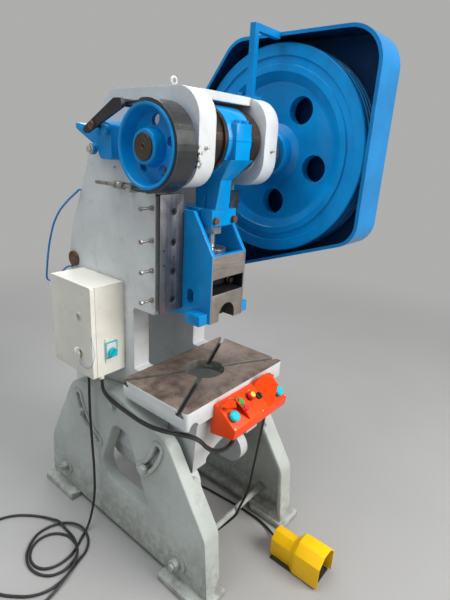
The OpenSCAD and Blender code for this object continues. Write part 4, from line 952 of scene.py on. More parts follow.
@dataclass
class Studio:
    """The camera at the photograph's viewpoint, the lamps and the floor."""

    eye: Point = (-1.153, -1.202, 1.553)
    azimuth: float = -51.2
    elevation: float = 19.1
    roll: float = 3.4
    focal_px: float = 442.3
    height_px: int = 600
    sensor_mm: float = 36.0
    sees: tuple[float, float] = (0.05, 60.0)
    backdrop: Colour = (0.42, 0.42, 0.415)
    sky_tint: Colour = (0.82, 0.86, 0.90)
    sky_strength: float = 0.24
    floor_size: float = 30.0
    floor_z: float = -0.0005
    floor_roughness: float = 0.7
    floor_tints: tuple[Colour, Colour] = ((0.36, 0.356, 0.350), (0.38, 0.376, 0.370))
    floor_fade: float = 4.6
    lamps: tuple[Lamp, ...] = (
        Lamp("key", (0.9, -3.6, 3.2), (0, -0.1, 1.0), 2.4, 205, (1.0, 0.98, 0.95)),
        Lamp("sky", (-0.6, 0.4, 4.2), (0, 0, 0.8), 3.0, 125, (0.95, 0.98, 1.0)),
        Lamp("side", (-4.0, -0.6, 2.2), (0, 0, 0.9), 2.6, 22, (0.95, 0.98, 1.0)),
        Lamp("back", (2.6, 3.2, 2.8), (0, 0, 1.0), 2.4, 36),
    )

    def camera(self) -> None:
        """Places the camera."""
        a, e, r = (math.radians(v) for v in (self.azimuth, self.elevation, self.roll))
        back = Vector((math.sin(a) * math.cos(e), -math.cos(a) * math.cos(e), math.sin(e)))
        right = Vector((0, 0, 1)).cross(back).normalized()
        up = back.cross(right)
        right, up = math.cos(r) * right + math.sin(r) * up, -math.sin(r) * right + math.cos(r) * up
        data = bpy.data.cameras.new("camera")
        data.sensor_fit = "VERTICAL"
        data.sensor_height = self.sensor_mm
        data.sensor_width = self.sensor_mm
        data.lens = self.focal_px / self.height_px * self.sensor_mm
        data.clip_start, data.clip_end = self.sees
        cam = bpy.data.objects.new("camera", data)
        cam.matrix_world = Matrix((
            (right.x, up.x, back.x, self.eye[0]),
            (right.y, up.y, back.y, self.eye[1]),
            (right.z, up.z, back.z, self.eye[2]),
            (0, 0, 0, 1),
        ))
        bpy.context.scene.collection.objects.link(cam)
        bpy.context.scene.camera = cam

    def world(self) -> None:
        """Sets the pale surroundings."""
        world = bpy.data.worlds.new("surroundings")
        world.use_nodes = True
        bpy.context.scene.world = world
        nodes, links = world.node_tree.nodes, world.node_tree.links
        soft = nodes["Background"]
        soft.inputs["Color"].default_value = (*self.sky_tint, 1.0)
        soft.inputs["Strength"].default_value = self.sky_strength
        seen = nodes.new("ShaderNodeBackground")
        seen.inputs["Color"].default_value = (*self.backdrop, 1.0)
        seen.inputs["Strength"].default_value = 1.0
        path = nodes.new("ShaderNodeLightPath")
        either = nodes.new("ShaderNodeMath")
        either.operation = "MAXIMUM"
        links.new(path.outputs["Is Camera Ray"], either.inputs[0])
        links.new(path.outputs["Is Glossy Ray"], either.inputs[1])
        mix = nodes.new("ShaderNodeMixShader")
        links.new(either.outputs[0], mix.inputs[0])
        links.new(soft.outputs[0], mix.inputs[1])
        links.new(seen.outputs[0], mix.inputs[2])
        links.new(mix.outputs[0], nodes["World Output"].inputs["Surface"])

    def floor(self) -> None:
        """Lays the pale floor."""
        bm = bmesh.new()
        bmesh.ops.create_grid(bm, x_segments=1, y_segments=1, size=self.floor_size)
        mesh = bpy.data.meshes.new("floor")
        bm.to_mesh(mesh)
        bm.free()
        floor = bpy.data.objects.new("floor", mesh)
        floor.location.z = self.floor_z
        bpy.context.scene.collection.objects.link(floor)
        t = Tree("floor")
        tint = t.mix(t.step(t.noise(1.2, 3.0), 0.3, 0.7), *self.floor_tints)
        t.surface(tint, self.floor_roughness, [])
        far = t.nodes.new("ShaderNodeEmission")
        far.inputs["Color"].default_value = (*self.backdrop, 1.0)
        path = t.nodes.new("ShaderNodeLightPath")
        seen = t.math("MAXIMUM", path.outputs["Is Camera Ray"], path.outputs["Is Glossy Ray"])
        near = t.near((0.0, 0.0, 0.0), self.floor_fade)
        fade = t.math("MULTIPLY", t.math("SUBTRACT", 1.0, near), seen)
        mix = t.nodes.new("ShaderNodeMixShader")
        t.wire(fade, mix.inputs[0])
        t.wire(t.shader.outputs[0], mix.inputs[1])
        t.wire(far.outputs[0], mix.inputs[2])
        t.wire(mix.outputs[0], t.nodes["Material Output"].inputs["Surface"])
        floor.data.materials.append(t.material)

    def build(self) -> None:
        """Sets up the whole studio."""
        bpy.context.scene.view_settings.view_transform = "Standard"
        self.camera()
        self.world()
        self.floor()
        for lamp in self.lamps:
            lamp.build()


# Cords
@dataclass
class Plug:
    """The round mains plug: a ribbed grip, a shroud and its pins."""

    at: Point = (-0.690, -0.238, 0.030)
    grip: Profile = ((0.0, -0.060), (0.0085, -0.060), (0.010, -0.050), (0.016, -0.040), (0.0205, -0.034),
                     (0.0215, -0.004), (0.0215, 0.0), (0.0, 0.0))
    shroud: Profile = ((0.0, 0.001), (0.027, 0.001), (0.0295, 0.004), (0.0295, 0.086), (0.0285, 0.0895),
                       (0.0265, 0.0895), (0.0265, 0.040), (0.0, 0.040))
    pin: Profile = ((0.0, 0.038), (0.003, 0.038), (0.003, 0.074), (0.002, 0.077), (0.0, 0.077))
    ribs: int = 16
    rib_size: Point = (0.002, 0.003, 0.026)
    rib_at: Point = (0.0208, 0.0, -0.019)
    rib_edge: float = 0.0006
    pins: int = 5
    pin_circle: float = 0.016
    first_pin: float = 0.3

    def build(self) -> bpy.types.Object:
        """Makes the plug.

        Returns:
            The grip, which carries the shroud and the pins.
        """
        at = frame_at(self.at, (1, 0, 0))
        bm = bmesh.new()
        lathe(bm, self.grip, at, 36)
        for k in range(self.ribs):
            turn = Matrix.Rotation(2 * math.pi * k / self.ribs, 4, "Z")
            slab(bm, self.rib_size, at @ turn @ Matrix.Translation(self.rib_at), self.rib_edge)
        grip = piece_from("plug_grip", bm, "stand", Finish.BLACK)
        bm = bmesh.new()
        lathe(bm, self.shroud, at, 48)
        shroud = piece_from("plug_shroud", bm, "stand", Finish.RED)
        bm = bmesh.new()
        for k in range(self.pins):
            spot = around(self.pin_circle, 2 * math.pi * k / self.pins + self.first_pin)
            lathe(bm, self.pin, at @ Matrix.Translation(spot), 16)
        pins = piece_from("plug_pins", bm, "stand", Finish.BRASS)
        for part in (shroud, pins):
            part.parent = grip
            part["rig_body"] = "stand"
        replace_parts(grip, "mains_plug")
        return grip


@dataclass
class Cords:
    """The free cords, laid on the routes of their solids."""

    mains_diameter: float = 0.010
    lead_diameter: float = 0.009
    pedal_diameter: float = 0.010
    hose_diameter: float = 0.008
    bend_low: float = 0.30
    coil_at: Point = (-0.722, -0.145, 0.006)
    coil_radius: float = 0.057
    coil_start: float = 92.0
    coil_steps: int = 36
    coil_turns: tuple[float, float] = (3.0, 1.35)
    coil_room: float = 1.15
    coil_pitch: float = 0.82
    coil_entry: tuple[float, float] = (0.6, 0.2)
    coil_climb: float = 0.5
    coil_lift: float = 0.96
    coil_tail: tuple[Point, ...] = (
        (-0.785, -0.186, 0.019), (-0.782, -0.206, 0.023), (-0.773, -0.224, 0.027), (-0.760, -0.235, 0.030),
        (-0.748, -0.238, 0.030))
    mains_route: Route = (
        (-308, 118, 714), (-308, 119, 690), (-308, 121, 650), (-308, 123, 600), (-308, 124, 540),
        (-308, 123, 480), (-308, 120, 420), (-309, 116, 360), (-311, 110, 300), (-314, 106, 240),
        (-318, 103, 180), (-324, 103, 130), (-332, 105, 85), (-344, 105, 45), (-358, 102, 20),
        (-376, 94, 8), (-400, 82, 6), (-430, 62, 6), (-470, 42, 6), (-510, 34, 6), (-550, 40, 6),
        (-582, 62, 6), (-597, 100, 6), (-590, 145, 6), (-562, 180, 6), (-525, 195, 6), (-485, 188, 6),
        (-455, 162, 6), (-437, 125, 6), (-436, 85, 6), (-446, 48, 10), (-466, 18, 14), (-500, 4, 8),
        (-540, 0, 6), (-580, 18, 6), (-606, 60, 6), (-612, 110, 6), (-596, 160, 6), (-560, 200, 6),
        (-515, 224, 6), (-470, 224, 6), (-428, 206, 8), (-398, 170, 14), (-382, 125, 18), (-382, 85, 17),
        (-398, 42, 12), (-430, 12, 6), (-470, -4, 6), (-520, -22, 6), (-570, -34, 6), (-620, -30, 6),
        (-665, -6, 6), (-700, 30, 6), (-735, 80, 6), (-756, 140, 6), (-764, 205, 6), (-755, 270, 6),
        (-730, 335, 6), (-690, 385, 6), (-640, 412, 6), (-585, 410, 6), (-535, 385, 6), (-495, 345, 6),
        (-462, 300, 6), (-438, 245, 12), (-428, 205, 18), (-425, 160, 8), (-427, 110, 8), (-438, 70, 14),
        (-458, 28, 22), (-480, 0, 20), (-520, -24, 14), (-560, -42, 14), (-605, -55, 8), (-655, -63, 6),
        (-715, -67, 6),
    )
    pedal_route: Route = (
        (112, -420, 604), (111, -418, 580), (109, -414, 540), (106, -410, 490), (101, -406, 430),
        (96, -402, 370), (92, -397, 310), (92, -391, 255), (92, -383, 205), (82, -373, 160),
        (69, -364, 122), (56, -361, 94), (40, -348, 70), (20, -333, 48), (-6, -318, 29),
        (-34, -302, 14), (-64, -284, 6), (-92, -258, 6), (-109, -222, 6), (-108, -180, 6),
        (-88, -140, 6), (-52, -112, 6), (-10, -96, 6), (35, -80, 6), (75, -64, 6), (112, -58, 6),
        (140, -72, 6), (152, -104, 6), (157, -145, 6), (161, -190, 6), (166, -240, 6), (170, -290, 6),
        (172, -340, 6), (171, -390, 6), (166, -430, 6), (158, -460, 7), (147, -485, 11), (140, -500, 14),
        (137, -511, 16), (137, -521, 16),
    )
    lead_route: Route = (
        (-288, 62, 714), (-288, 62, 690), (-288, 56, 664), (-288, 36, 648), (-288, 0, 638),
        (-288, -45, 633), (-288, -95, 629), (-288, -150, 627), (-287, -200, 629), (-283, -250, 636),
        (-274, -300, 645), (-262, -345, 652), (-250, -376, 652), (-236, -394, 640), (-215, -404, 611),
        (-192, -410, 588), (-165, -413, 571), (-135, -415, 561), (-108, -417, 562), (-90, -419, 574),
        (-84, -420, 592), (-84, -420, 608),
    )
    lead_step: Point = (-0.0095, -0.0095, 0.0)
    hose_route: Route = (
        (-196, 286, 1372), (-203, 287, 1372), (-206, 300, 1361), (-207, 335, 1340), (-208, 370, 1316),
        (-212, 415, 1278), (-218, 455, 1222), (-226, 480, 1150), (-233, 492, 1085), (-235, 503, 1030),
        (-231, 518, 994), (-225, 524, 976), (-219, 512, 972), (-213, 478, 988), (-210, 440, 1018),
        (-209, 408, 1044), (-208, 385, 1058), (-203, 371, 1062), (-196, 370, 1062),
    )

    @staticmethod
    def metres(route: Route) -> list[Point]:
        """Returns a route in metres."""
        return [(x / 1000, y / 1000, z / 1000) for x, y, z in route]

    def coil(self) -> list[Vector]:
        """Lays the coil: a lower layer inwards, an upper one outwards, and the way to the plug.

        Returns:
            The coil's centreline.
        """
        d = self.mains_diameter
        lower, upper = self.coil_turns
        extra, entry = self.coil_entry
        line: list[Vector] = []
        for k in range(1, int((lower + upper) * self.coil_steps)):
            turn = k / self.coil_steps
            r = self.coil_radius + d * (self.coil_room - min(turn, lower) * self.coil_pitch)
            if turn < lower:
                r += extra * d * max(0.0, 1 - turn / entry)
            else:
                r += d * (turn - lower)
            climb = min(1.0, max(0.0, (turn - lower + self.coil_climb / 2) / self.coil_climb))
            lift = d * self.coil_lift * (3 * climb ** 2 - 2 * climb ** 3)
            line.append(Vector(self.coil_at) + around(r, math.radians(self.coil_start + 360 * turn), lift))
        return line + smooth_route([tuple(line[-2]), tuple(line[-1]), *self.coil_tail], 5)[5:]

    def mains(self) -> None:
        """Lays the mains lead with its coil and its plug."""
        d = self.mains_diameter
        coil = self.coil()
        whole = [*smooth_route(self.metres(self.mains_route)), *coil]
        mains = bending_cord("mains_lead", whole, d, Finish.JACKET)
        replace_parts(mains, "mains_cord", "mains_coil")
        plug = Plug().build()
        log.info("mains lead %.3f m, of it %.3f m in the coil", run_length(whole), run_length(coil))

    def pedal(self) -> None:
        """Lays the foot switch's lead."""
        line = smooth_route(self.metres(self.pedal_route))
        pedal = bending_cord("pedal_lead", line, self.pedal_diameter, Finish.JACKET)
        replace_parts(pedal, "pedal_cord")

    def on_frame(self, name: str, node: str, line: Sequence[Vector], diameter: float, finish: Finish) -> None:
        """Lays a cord with both its ends on the frame.

        Args:
            name: The piece's name.
            node: The CAD solid that it stands in for.
            line: Its centreline.
            diameter: Its diameter.
            finish: Its finish.
        """
        cord = cord_curve(name, line, diameter, "frame", finish)
        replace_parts(cord, node)

    def build(self) -> None:
        self.mains()
        self.pedal()
        for k, letter in enumerate("ab"):
            points = [Vector(p) + k * Vector(self.lead_step) for p in self.metres(self.lead_route)]
            route = smooth_route([tuple(p) for p in points])
            self.on_frame(f"station_run_{letter}", f"station_lead_{letter}", route, self.lead_diameter,
                          Finish.JACKET)
        hose = smooth_route(self.metres(self.hose_route))
        self.on_frame("lube_run", "lube_hose", hose, self.hose_diameter, Finish.HOSE)


# The CAD solids
@dataclass
class Castings:
    """The CAD solids that get rounded edges."""

    big_edge: float = 0.005
    small_edge: float = 0.002
    far: float = 9.0
    skin: float = 0.0005
    bed_top: float = 0.740
    bed_low: float = 0.690
    bed_y: float = -0.195
    bed_bore: float = 0.0755
    slot_depth: float = 0.0265
    slots: tuple[float, float, float] = (0.262, -0.357, -0.053)
    ram_face: tuple[float, float, float] = (0.0885, -0.2855, -0.2845)
    ram_milled: tuple[float, float] = (0.960, 1.205)
    ram_sole: float = 0.9725
    clamp_pocket: tuple[Point, Point] = ((-0.083, -0.284, 1.070), (0.083, -0.200, 1.135))
    clamp_inside: tuple[float, float, float] = (-0.2845, -0.190, 1.074)
    clamp_top: tuple[float, float] = (1.068, 1.140)
    rod_seam: float = 1.570
    bolt_length: float = 0.05
    gib_side: float = 0.1975
    wheel_axis: tuple[float, float] = (-0.195, 1.540)
    guard_back: tuple[float, float] = (0.42, 0.4508)

    def rows(self) -> tuple[Softened, ...]:
        """Lists the solids, with the edge that each is cast or cut with.

        Returns:
            The solids.
        """
        b, s, far, top = self.big_edge, self.small_edge, self.far, self.bed_top
        below, everywhere = (-far, -far, -far), (far, far, far)
        bore, floor = self.bed_bore, self.ram_milled[0]
        slot_x, slot_front, slot_back = self.slots
        face_x, face_front, face_back = self.ram_face
        inside_front, inside_back, inside_top = self.clamp_inside
        under_skin = top - self.skin - 0.0001
        return (
            Softened("frame_casting", Finish.FRAME, "frame", b),
            Softened("leg_left", Finish.LEG, "stand", b),
            Softened("leg_right", Finish.LEG, "stand", b),
            Softened("bed_table", Finish.FRAME, "frame", s, zones=(
                Zone(Finish.PLATE, (-far, -far, top - self.skin), everywhere, (0, 0, 1)),
                Zone(Finish.BORED, (-bore, self.bed_y - bore, self.bed_low),
                     (bore, self.bed_y + bore, under_skin)),
                Zone(Finish.BORED, (-slot_x, slot_front, top - self.slot_depth),
                     (slot_x, slot_back, under_skin)),
            )),
            Softened("ram", Finish.BLUE, "ram", s, zones=(
                Zone(Finish.MILLED, (-face_x, face_front, floor), (face_x, face_back, self.ram_milled[1]),
                     (0, -1, 0)),
                Zone(Finish.GROUND, (-far, -far, floor), (far, far, self.ram_sole), (0, 0, -1)),
                Zone(Finish.BLACKED, *self.clamp_pocket),
            )),
            Softened("connecting_rod", Finish.BLUE, "rod", s, seam_z=self.rod_seam),
            Softened("rod_cap", Finish.BLUE, "rod", s, seam_z=self.rod_seam),
            Softened("rod_bolts", Finish.RUSTY, "rod", 0.0, zones=(
                Zone(Finish.BLUE, (-far, -far, self.rod_seam - self.bolt_length), everywhere),
            )),
            # Both guides' outer side faces are coloured as blacked steel, darker than their ground fronts.
            Softened("gib_left", Finish.GROUND, "frame", 0.001, zones=(
                Zone(Finish.BLACKED, below, (-self.gib_side, far, far), (-1, 0, 0)),
            )),
            Softened("gib_right", Finish.GROUND, "frame", 0.001, zones=(
                Zone(Finish.BLACKED, (self.gib_side, -far, -far), everywhere, (1, 0, 0)),
            )),
            Softened("electric_box", Finish.BOX, "frame", 0.004, 3),
            Softened("box_door", Finish.BOX, "door", 0.0045, 3),
            Softened("foot_hood", Finish.YELLOW, "stand", 0.0016),
            Softened("brake_bracket", Finish.BLUE, "frame", 0.0025),
            Softened("flywheel_guard", Finish.BLUE_SHEET, "frame", 0.0, zones=(
                # Painted shade: the guard's faces that look towards the wheel's axis, and the inside of its
                # back wall, take the darker blue.
                Zone(Finish.BLUE_PAINTED_SHADE, below, everywhere, towards=self.wheel_axis),
                Zone(Finish.BLUE_PAINTED_SHADE, (self.guard_back[0], -far, -far), (self.guard_back[1], far, far),
                     (-1, 0, 0)),
            )),
            Softened("brake_lever", Finish.BLACKED, "frame", 0.0015),
            Softened("tool_clamp", Finish.MILLED, "ram", 0.0008, zones=(
                Zone(Finish.BLACKED, (-far, inside_front, -far), (far, inside_back, inside_top)),
                Zone(Finish.BLACKED, (-far, -far, self.clamp_top[0]), (far, far, self.clamp_top[1])),
            )),
        )

    def build(self) -> None:
        """Makes each rounded solid."""
        for row in self.rows():
            row.build()
            log.info("%s rounded", row.node)


class Solids:
    """Gives every CAD solid that stays its finish."""

    plan: dict[Finish, str] = {
        Finish.FRAME: "lifting_eye",
        Finish.LEG: "tie_rods leg_fasteners lock_bolts",
        Finish.BLUE: "motor brake_drum flywheel",
        Finish.BLUE_SHEET: "guard_brackets motor_plate",
        Finish.TURNED: "pedal_pin clutch_collar brake_tensioner",
        Finish.RUSTY: "motor_hinge_shaft",
        Finish.BROWNED: "crankshaft",
        Finish.BRIGHT: "ball_screw lock_nut ball_seat",
        Finish.BRASS: "crank_bushes",
        Finish.BLACKED: "gib_screws motor_pulley",
        Finish.ZINC: "door_lock_top door_lock_bottom",
        Finish.BAND: "brake_band",
        Finish.BELT: "v_belts",
        Finish.BLACK: "foot_base pedal selector_switch",
        Finish.GREY_PLASTIC: "box_switchgear",
        Finish.CYAN: "switch_knob palm_button_left palm_button_right",
        Finish.GREEN: "green_button",
        Finish.RED: "red_button stop_button",
    }

    def build(self) -> None:
        """Dresses each solid."""
        for finish, names in self.plan.items():
            for name in names.split():
                STOCK.dress(NODES[name], finish)
        log.info("%d solids dressed", sum(len(v.split()) for v in self.plan.values()))


# Fittings
@dataclass
class BrakeFittings:
    """Rivets, bolts and nipples about the brake and the crank's bearings."""

    crank_y: float = -0.195
    crank_z: float = 1.540
    band_radius: float = 0.1280
    band_middle: float = -0.256
    rivet_angles: tuple[float, ...] = (131.7, 152.0, 205.0, 232.0, 108.0)
    rivet_rows: tuple[float, float] = (-0.016, 0.016)
    rivet_sink: float = 0.0006
    rivet: Profile = ((0.0, -0.001), (0.0042, -0.001), (0.0042, 0.0008), (0.0030, 0.0013),
                      (0.0012, 0.0006), (0.0, 0.0006))
    bracket_bolt: Point = (-0.294, 0.081, 1.522)
    bolt_across: float = 0.0205
    bolt_height: float = 0.0085
    bolt_seat: float = -0.0072
    washer: Profile = ((0.0, -0.0095), (0.0145, -0.0095), (0.0145, -0.0075), (0.0135, -0.0070),
                       (0.0, -0.0070))
    pin_head: Point = (-0.305, 0.049, 1.592)
    pin: Profile = ((0.0, -0.0072), (0.0125, -0.0072), (0.0128, -0.002), (0.0115, 0.0004), (0.0, 0.0009))
    cheek_nipple: Point = (-0.1652, -0.305, 1.546)
    nipple_across: float = 0.011
    nipple_height: float = 0.005
    nipple_sink: float = 0.0005
    nipple: Profile = ((0.0, 0.0035), (0.0032, 0.0035), (0.0022, 0.0085), (0.0034, 0.0100),
                       (0.0030, 0.0125), (0.0, 0.0135))
    end_rings: tuple[tuple[float, float], ...] = ((0.0085, 0.0008), (0.0225, 0.0006), (0.0350, 0.0006))
    ring_half: float = 0.0012
    ring_foot: float = -0.0020
    ring_edge: float = 0.0002

    def rivets(self) -> None:
        """Makes the flat rivets that hold the lining to the band."""
        bm = bmesh.new()
        for angle in self.rivet_angles:
            a = math.radians(angle)
            out = (0.0, math.cos(a), math.sin(a))
            for side in self.rivet_rows:
                middle = Vector((self.band_middle + side, self.crank_y, self.crank_z))
                centre = middle + (self.band_radius - self.rivet_sink) * Vector(out)
                lathe(bm, self.rivet, frame_at(tuple(centre), out), 16)
        piece_from("band_rivets", bm, "frame", Finish.BLACKED)

    def bolt(self) -> None:
        """Makes the bracket's bolt with its washer."""
        bm = bmesh.new()
        at = frame_at(self.bracket_bolt, (-1, 0, 0))
        lathe(bm, self.washer, at, 32)
        hex_head(bm, self.bolt_across, self.bolt_height, at @ Matrix.Translation((0, 0, self.bolt_seat)))
        piece_from("bracket_bolt", bm, "frame", Finish.ZINC)

    def lever_pin(self) -> None:
        """Makes the rusty head of the lever's pin."""
        bm = bmesh.new()
        lathe(bm, self.pin, frame_at(self.pin_head, (-1, 0, 0)), 32)
        piece_from("lever_pin_head", bm, "frame", Finish.RUSTY)

    def nipples(self) -> None:
        """Makes the grease nipples on the front of the cheeks."""
        bm = bmesh.new()
        x, y, z = self.cheek_nipple
        for side in (x, -x):
            at = frame_at((side, y, z), (0, -1, 0))
            seat = at @ Matrix.Translation((0, 0, -self.nipple_sink))
            hex_head(bm, self.nipple_across, self.nipple_height, seat)
            lathe(bm, self.nipple, at, 20)
        piece_from("grease_nipples", bm, "frame", Finish.ZINC)

    def shaft_end(self) -> None:
        """Makes the turned rings on the crank's free end."""
        x = min(c[0] for c in NODES["crankshaft"].bound_box)
        at = frame_at((x, self.crank_y, self.crank_z), (-1, 0, 0))
        half, foot, edge = self.ring_half, self.ring_foot, self.ring_edge
        bm = bmesh.new()
        for radius, height in self.end_rings:
            inner, outer = radius - half, radius + half
            ring = ((inner, foot), (inner, edge), (radius, height), (outer, edge), (outer, foot))
            lathe(bm, ring, at, 48, closed=False)
        piece_from("shaft_end_rings", bm, "crank", Finish.BROWNED)

    def build(self) -> None:
        """Makes all of them."""
        self.rivets()
        self.bolt()
        self.lever_pin()
        self.nipples()
        self.shaft_end()


@dataclass
class BoxFittings:
    """What the electric box carries: gasket, lock rings, switch plate, glands and the key with its cord."""

    door_face: float = -0.341
    seam: tuple[float, float] = (-0.3240, -0.3214)
    box_y: tuple[float, float] = (0.040, 0.290)
    box_z: tuple[float, float] = (0.728, 1.074)
    gasket_depth: float = 0.006
    gasket_proud: float = 0.0005
    lock_y: float = 0.112
    lock_z: tuple[float, float] = (0.820, 0.955)
    lock_ring: Profile = ((0.0112, -0.0005), (0.0150, -0.0005), (0.0150, 0.0012), (0.0140, 0.0024),
                          (0.0118, 0.0026), (0.0112, 0.0016))
    switch: Point = (-0.262, 0.035, 0.8265)
    plate: tuple[float, float] = (0.052, 0.066)
    plate_thick: tuple[float, float] = (0.0028, 0.0016)
    plate_out: tuple[float, float, float] = (0.0002, 0.0014, 0.0020)
    plate_border: tuple[float, float] = (0.010, 0.012)
    plate_edges: tuple[float, float] = (0.0012, 0.0006)
    screw_inset: tuple[float, float] = (0.0085, 0.0095)
    screw: Profile = ((0.0, -0.0004), (0.0022, -0.0004), (0.0022, 0.0006), (0.0014, 0.0011), (0.0, 0.0011))
    gland_points: tuple[tuple[float, float], ...] = ((-0.308, 0.118), (-0.288, 0.062))
    gland_across: float = 0.0235
    gland_height: float = 0.006
    gland: Profile = ((0.0056, -0.0150), (0.0105, -0.0150), (0.0109, -0.0130), (0.0109, -0.0055))
    gland_ribs: int = 18
    rib_size: Point = (0.0010, 0.0016, 0.0070)
    rib_at: Point = (0.0109, 0.0, -0.0100)
    rib_edge: float = 0.0003
    key_out: float = 0.0032
    key_stem: Point = (0.008, 0.0020, 0.006)
    key_bow: Profile = ((0.0, -0.002), (0.0115, -0.002), (0.0125, 0.0), (0.0125, 0.005), (0.0115, 0.007),
                        (0.0, 0.007))
    key_tag: Point = (0.0052, 0.013, 0.032)
    tag_tilt: float = 0.10
    string_diameter: float = 0.0016
    string_route: tuple[Point, ...] = (
        (-0.006, -0.002, -0.028), (-0.005, -0.008, -0.044), (-0.002, -0.026, -0.056),
        (0.0005, -0.046, -0.054), (0.0010, -0.066, -0.040), (0.0012, -0.082, -0.014),
        (0.0012, -0.088, 0.018), (0.0012, -0.082, 0.050), (0.0014, -0.070, 0.074))

    def gasket(self) -> None:
        """Makes the dark rubber line between the box and its door."""
        bm = bmesh.new()
        x0, x1 = self.seam
        (y0, y1), (z0, z1) = self.box_y, self.box_z
        t, proud = self.gasket_depth, self.gasket_proud
        wide, high = y1 - y0, z1 - z0
        middle_y, middle_z = (y0 + y1) / 2, (z0 + z1) / 2
        strips = (
            (middle_y, z0 + t / 2 - proud, wide, t), (middle_y, z1 - t / 2 + proud, wide, t),
            (y0 + t / 2 - proud, middle_z, t, high), (y1 - t / 2 + proud, middle_z, t, high))
        for y, z, length_y, length_z in strips:
            slab(bm, (x1 - x0, length_y, length_z), Matrix.Translation(((x0 + x1) / 2, y, z)), 0.0)
        piece_from("door_gasket", bm, "frame", Finish.BLACK)

    def lock_rings(self) -> None:
        """Makes the raised ring round each lock."""
        for name, z in zip(("lock_ring_low", "lock_ring_high"), self.lock_z):
            bm = bmesh.new()
            at = frame_at((self.door_face, self.lock_y, z), (-1, 0, 0))
            lathe(bm, self.lock_ring, at, 36, closed=False)
            piece_from(name, bm, "door", Finish.BOX)

    def switch_plate(self) -> None:
        """Makes the switch's blue frame with its pale plate and its screws."""
        x, y, z = self.switch
        w, h = self.plate
        frame_y, plate_y, screw_y = (y - out for out in self.plate_out)
        bm = bmesh.new()
        slab(bm, (w, self.plate_thick[0], h), Matrix.Translation((x, frame_y, z)), self.plate_edges[0])
        piece_from("switch_frame", bm, "frame", Finish.CYAN)
        bm = bmesh.new()
        pale = (w - self.plate_border[0], self.plate_thick[1], h - self.plate_border[1])
        slab(bm, pale, Matrix.Translation((x, plate_y, z)), self.plate_edges[1])
        piece_from("switch_plate", bm, "frame", Finish.WHITE_PLASTIC)
        bm = bmesh.new()
        across, up = w / 2 - self.screw_inset[0], h / 2 - self.screw_inset[1]
        for dx, dz in ((-1, -1), (1, -1), (-1, 1), (1, 1)):
            lathe(bm, self.screw, frame_at((x + dx * across, screw_y, z + dz * up), (0, -1, 0)), 16)
        piece_from("switch_screws", bm, "frame", Finish.ZINC)

    def glands(self) -> None:
        """Makes the ribbed nuts where the cords leave the box."""
        bm = bmesh.new()
        for x, y in self.gland_points:
            at = Matrix.Translation((x, y, self.box_z[0]))
            hex_head(bm, self.gland_across, self.gland_height, at @ Matrix.Rotation(math.pi, 4, "X"))
            lathe(bm, self.gland, at, 36, closed=False)
            for k in range(self.gland_ribs):
                turn = Matrix.Rotation(2 * math.pi * k / self.gland_ribs, 4, "Z")
                slab(bm, self.rib_size, at @ turn @ Matrix.Translation(self.rib_at), self.rib_edge, 1)
        piece_from("box_glands", bm, "frame", Finish.BLACK)

    def key(self) -> None:
        """Makes the key with its white tag and the blue cord that keeps it on the door."""
        x, y, z = self.door_face - self.key_out, self.lock_y, self.lock_z[0]
        bm = bmesh.new()
        slab(bm, self.key_stem, Matrix.Translation((x - 0.003, y, z)), 0.0004)
        lathe(bm, self.key_bow, frame_at((x - 0.0065, y + 0.003, z + 0.004), (0.25, 1, 0)), 28)
        tag = Matrix.Translation((x - 0.0058, y - 0.001, z - 0.015)) @ Matrix.Rotation(self.tag_tilt, 4, "X")
        slab(bm, self.key_tag, tag, 0.0020)
        piece_from("door_key", bm, "door_lock_bottom", Finish.WHITE_PLASTIC)
        line = smooth_route([(x + dx, y + dy, z + dz) for dx, dy, dz in self.string_route])
        d = self.string_diameter
        string = cord_curve("key_cord", line, d, "door_lock_bottom", Finish.HOSE)

    def build(self) -> None:
        """Makes all of them."""
        self.gasket()
        self.lock_rings()
        self.switch_plate()
        self.glands()
        self.key()


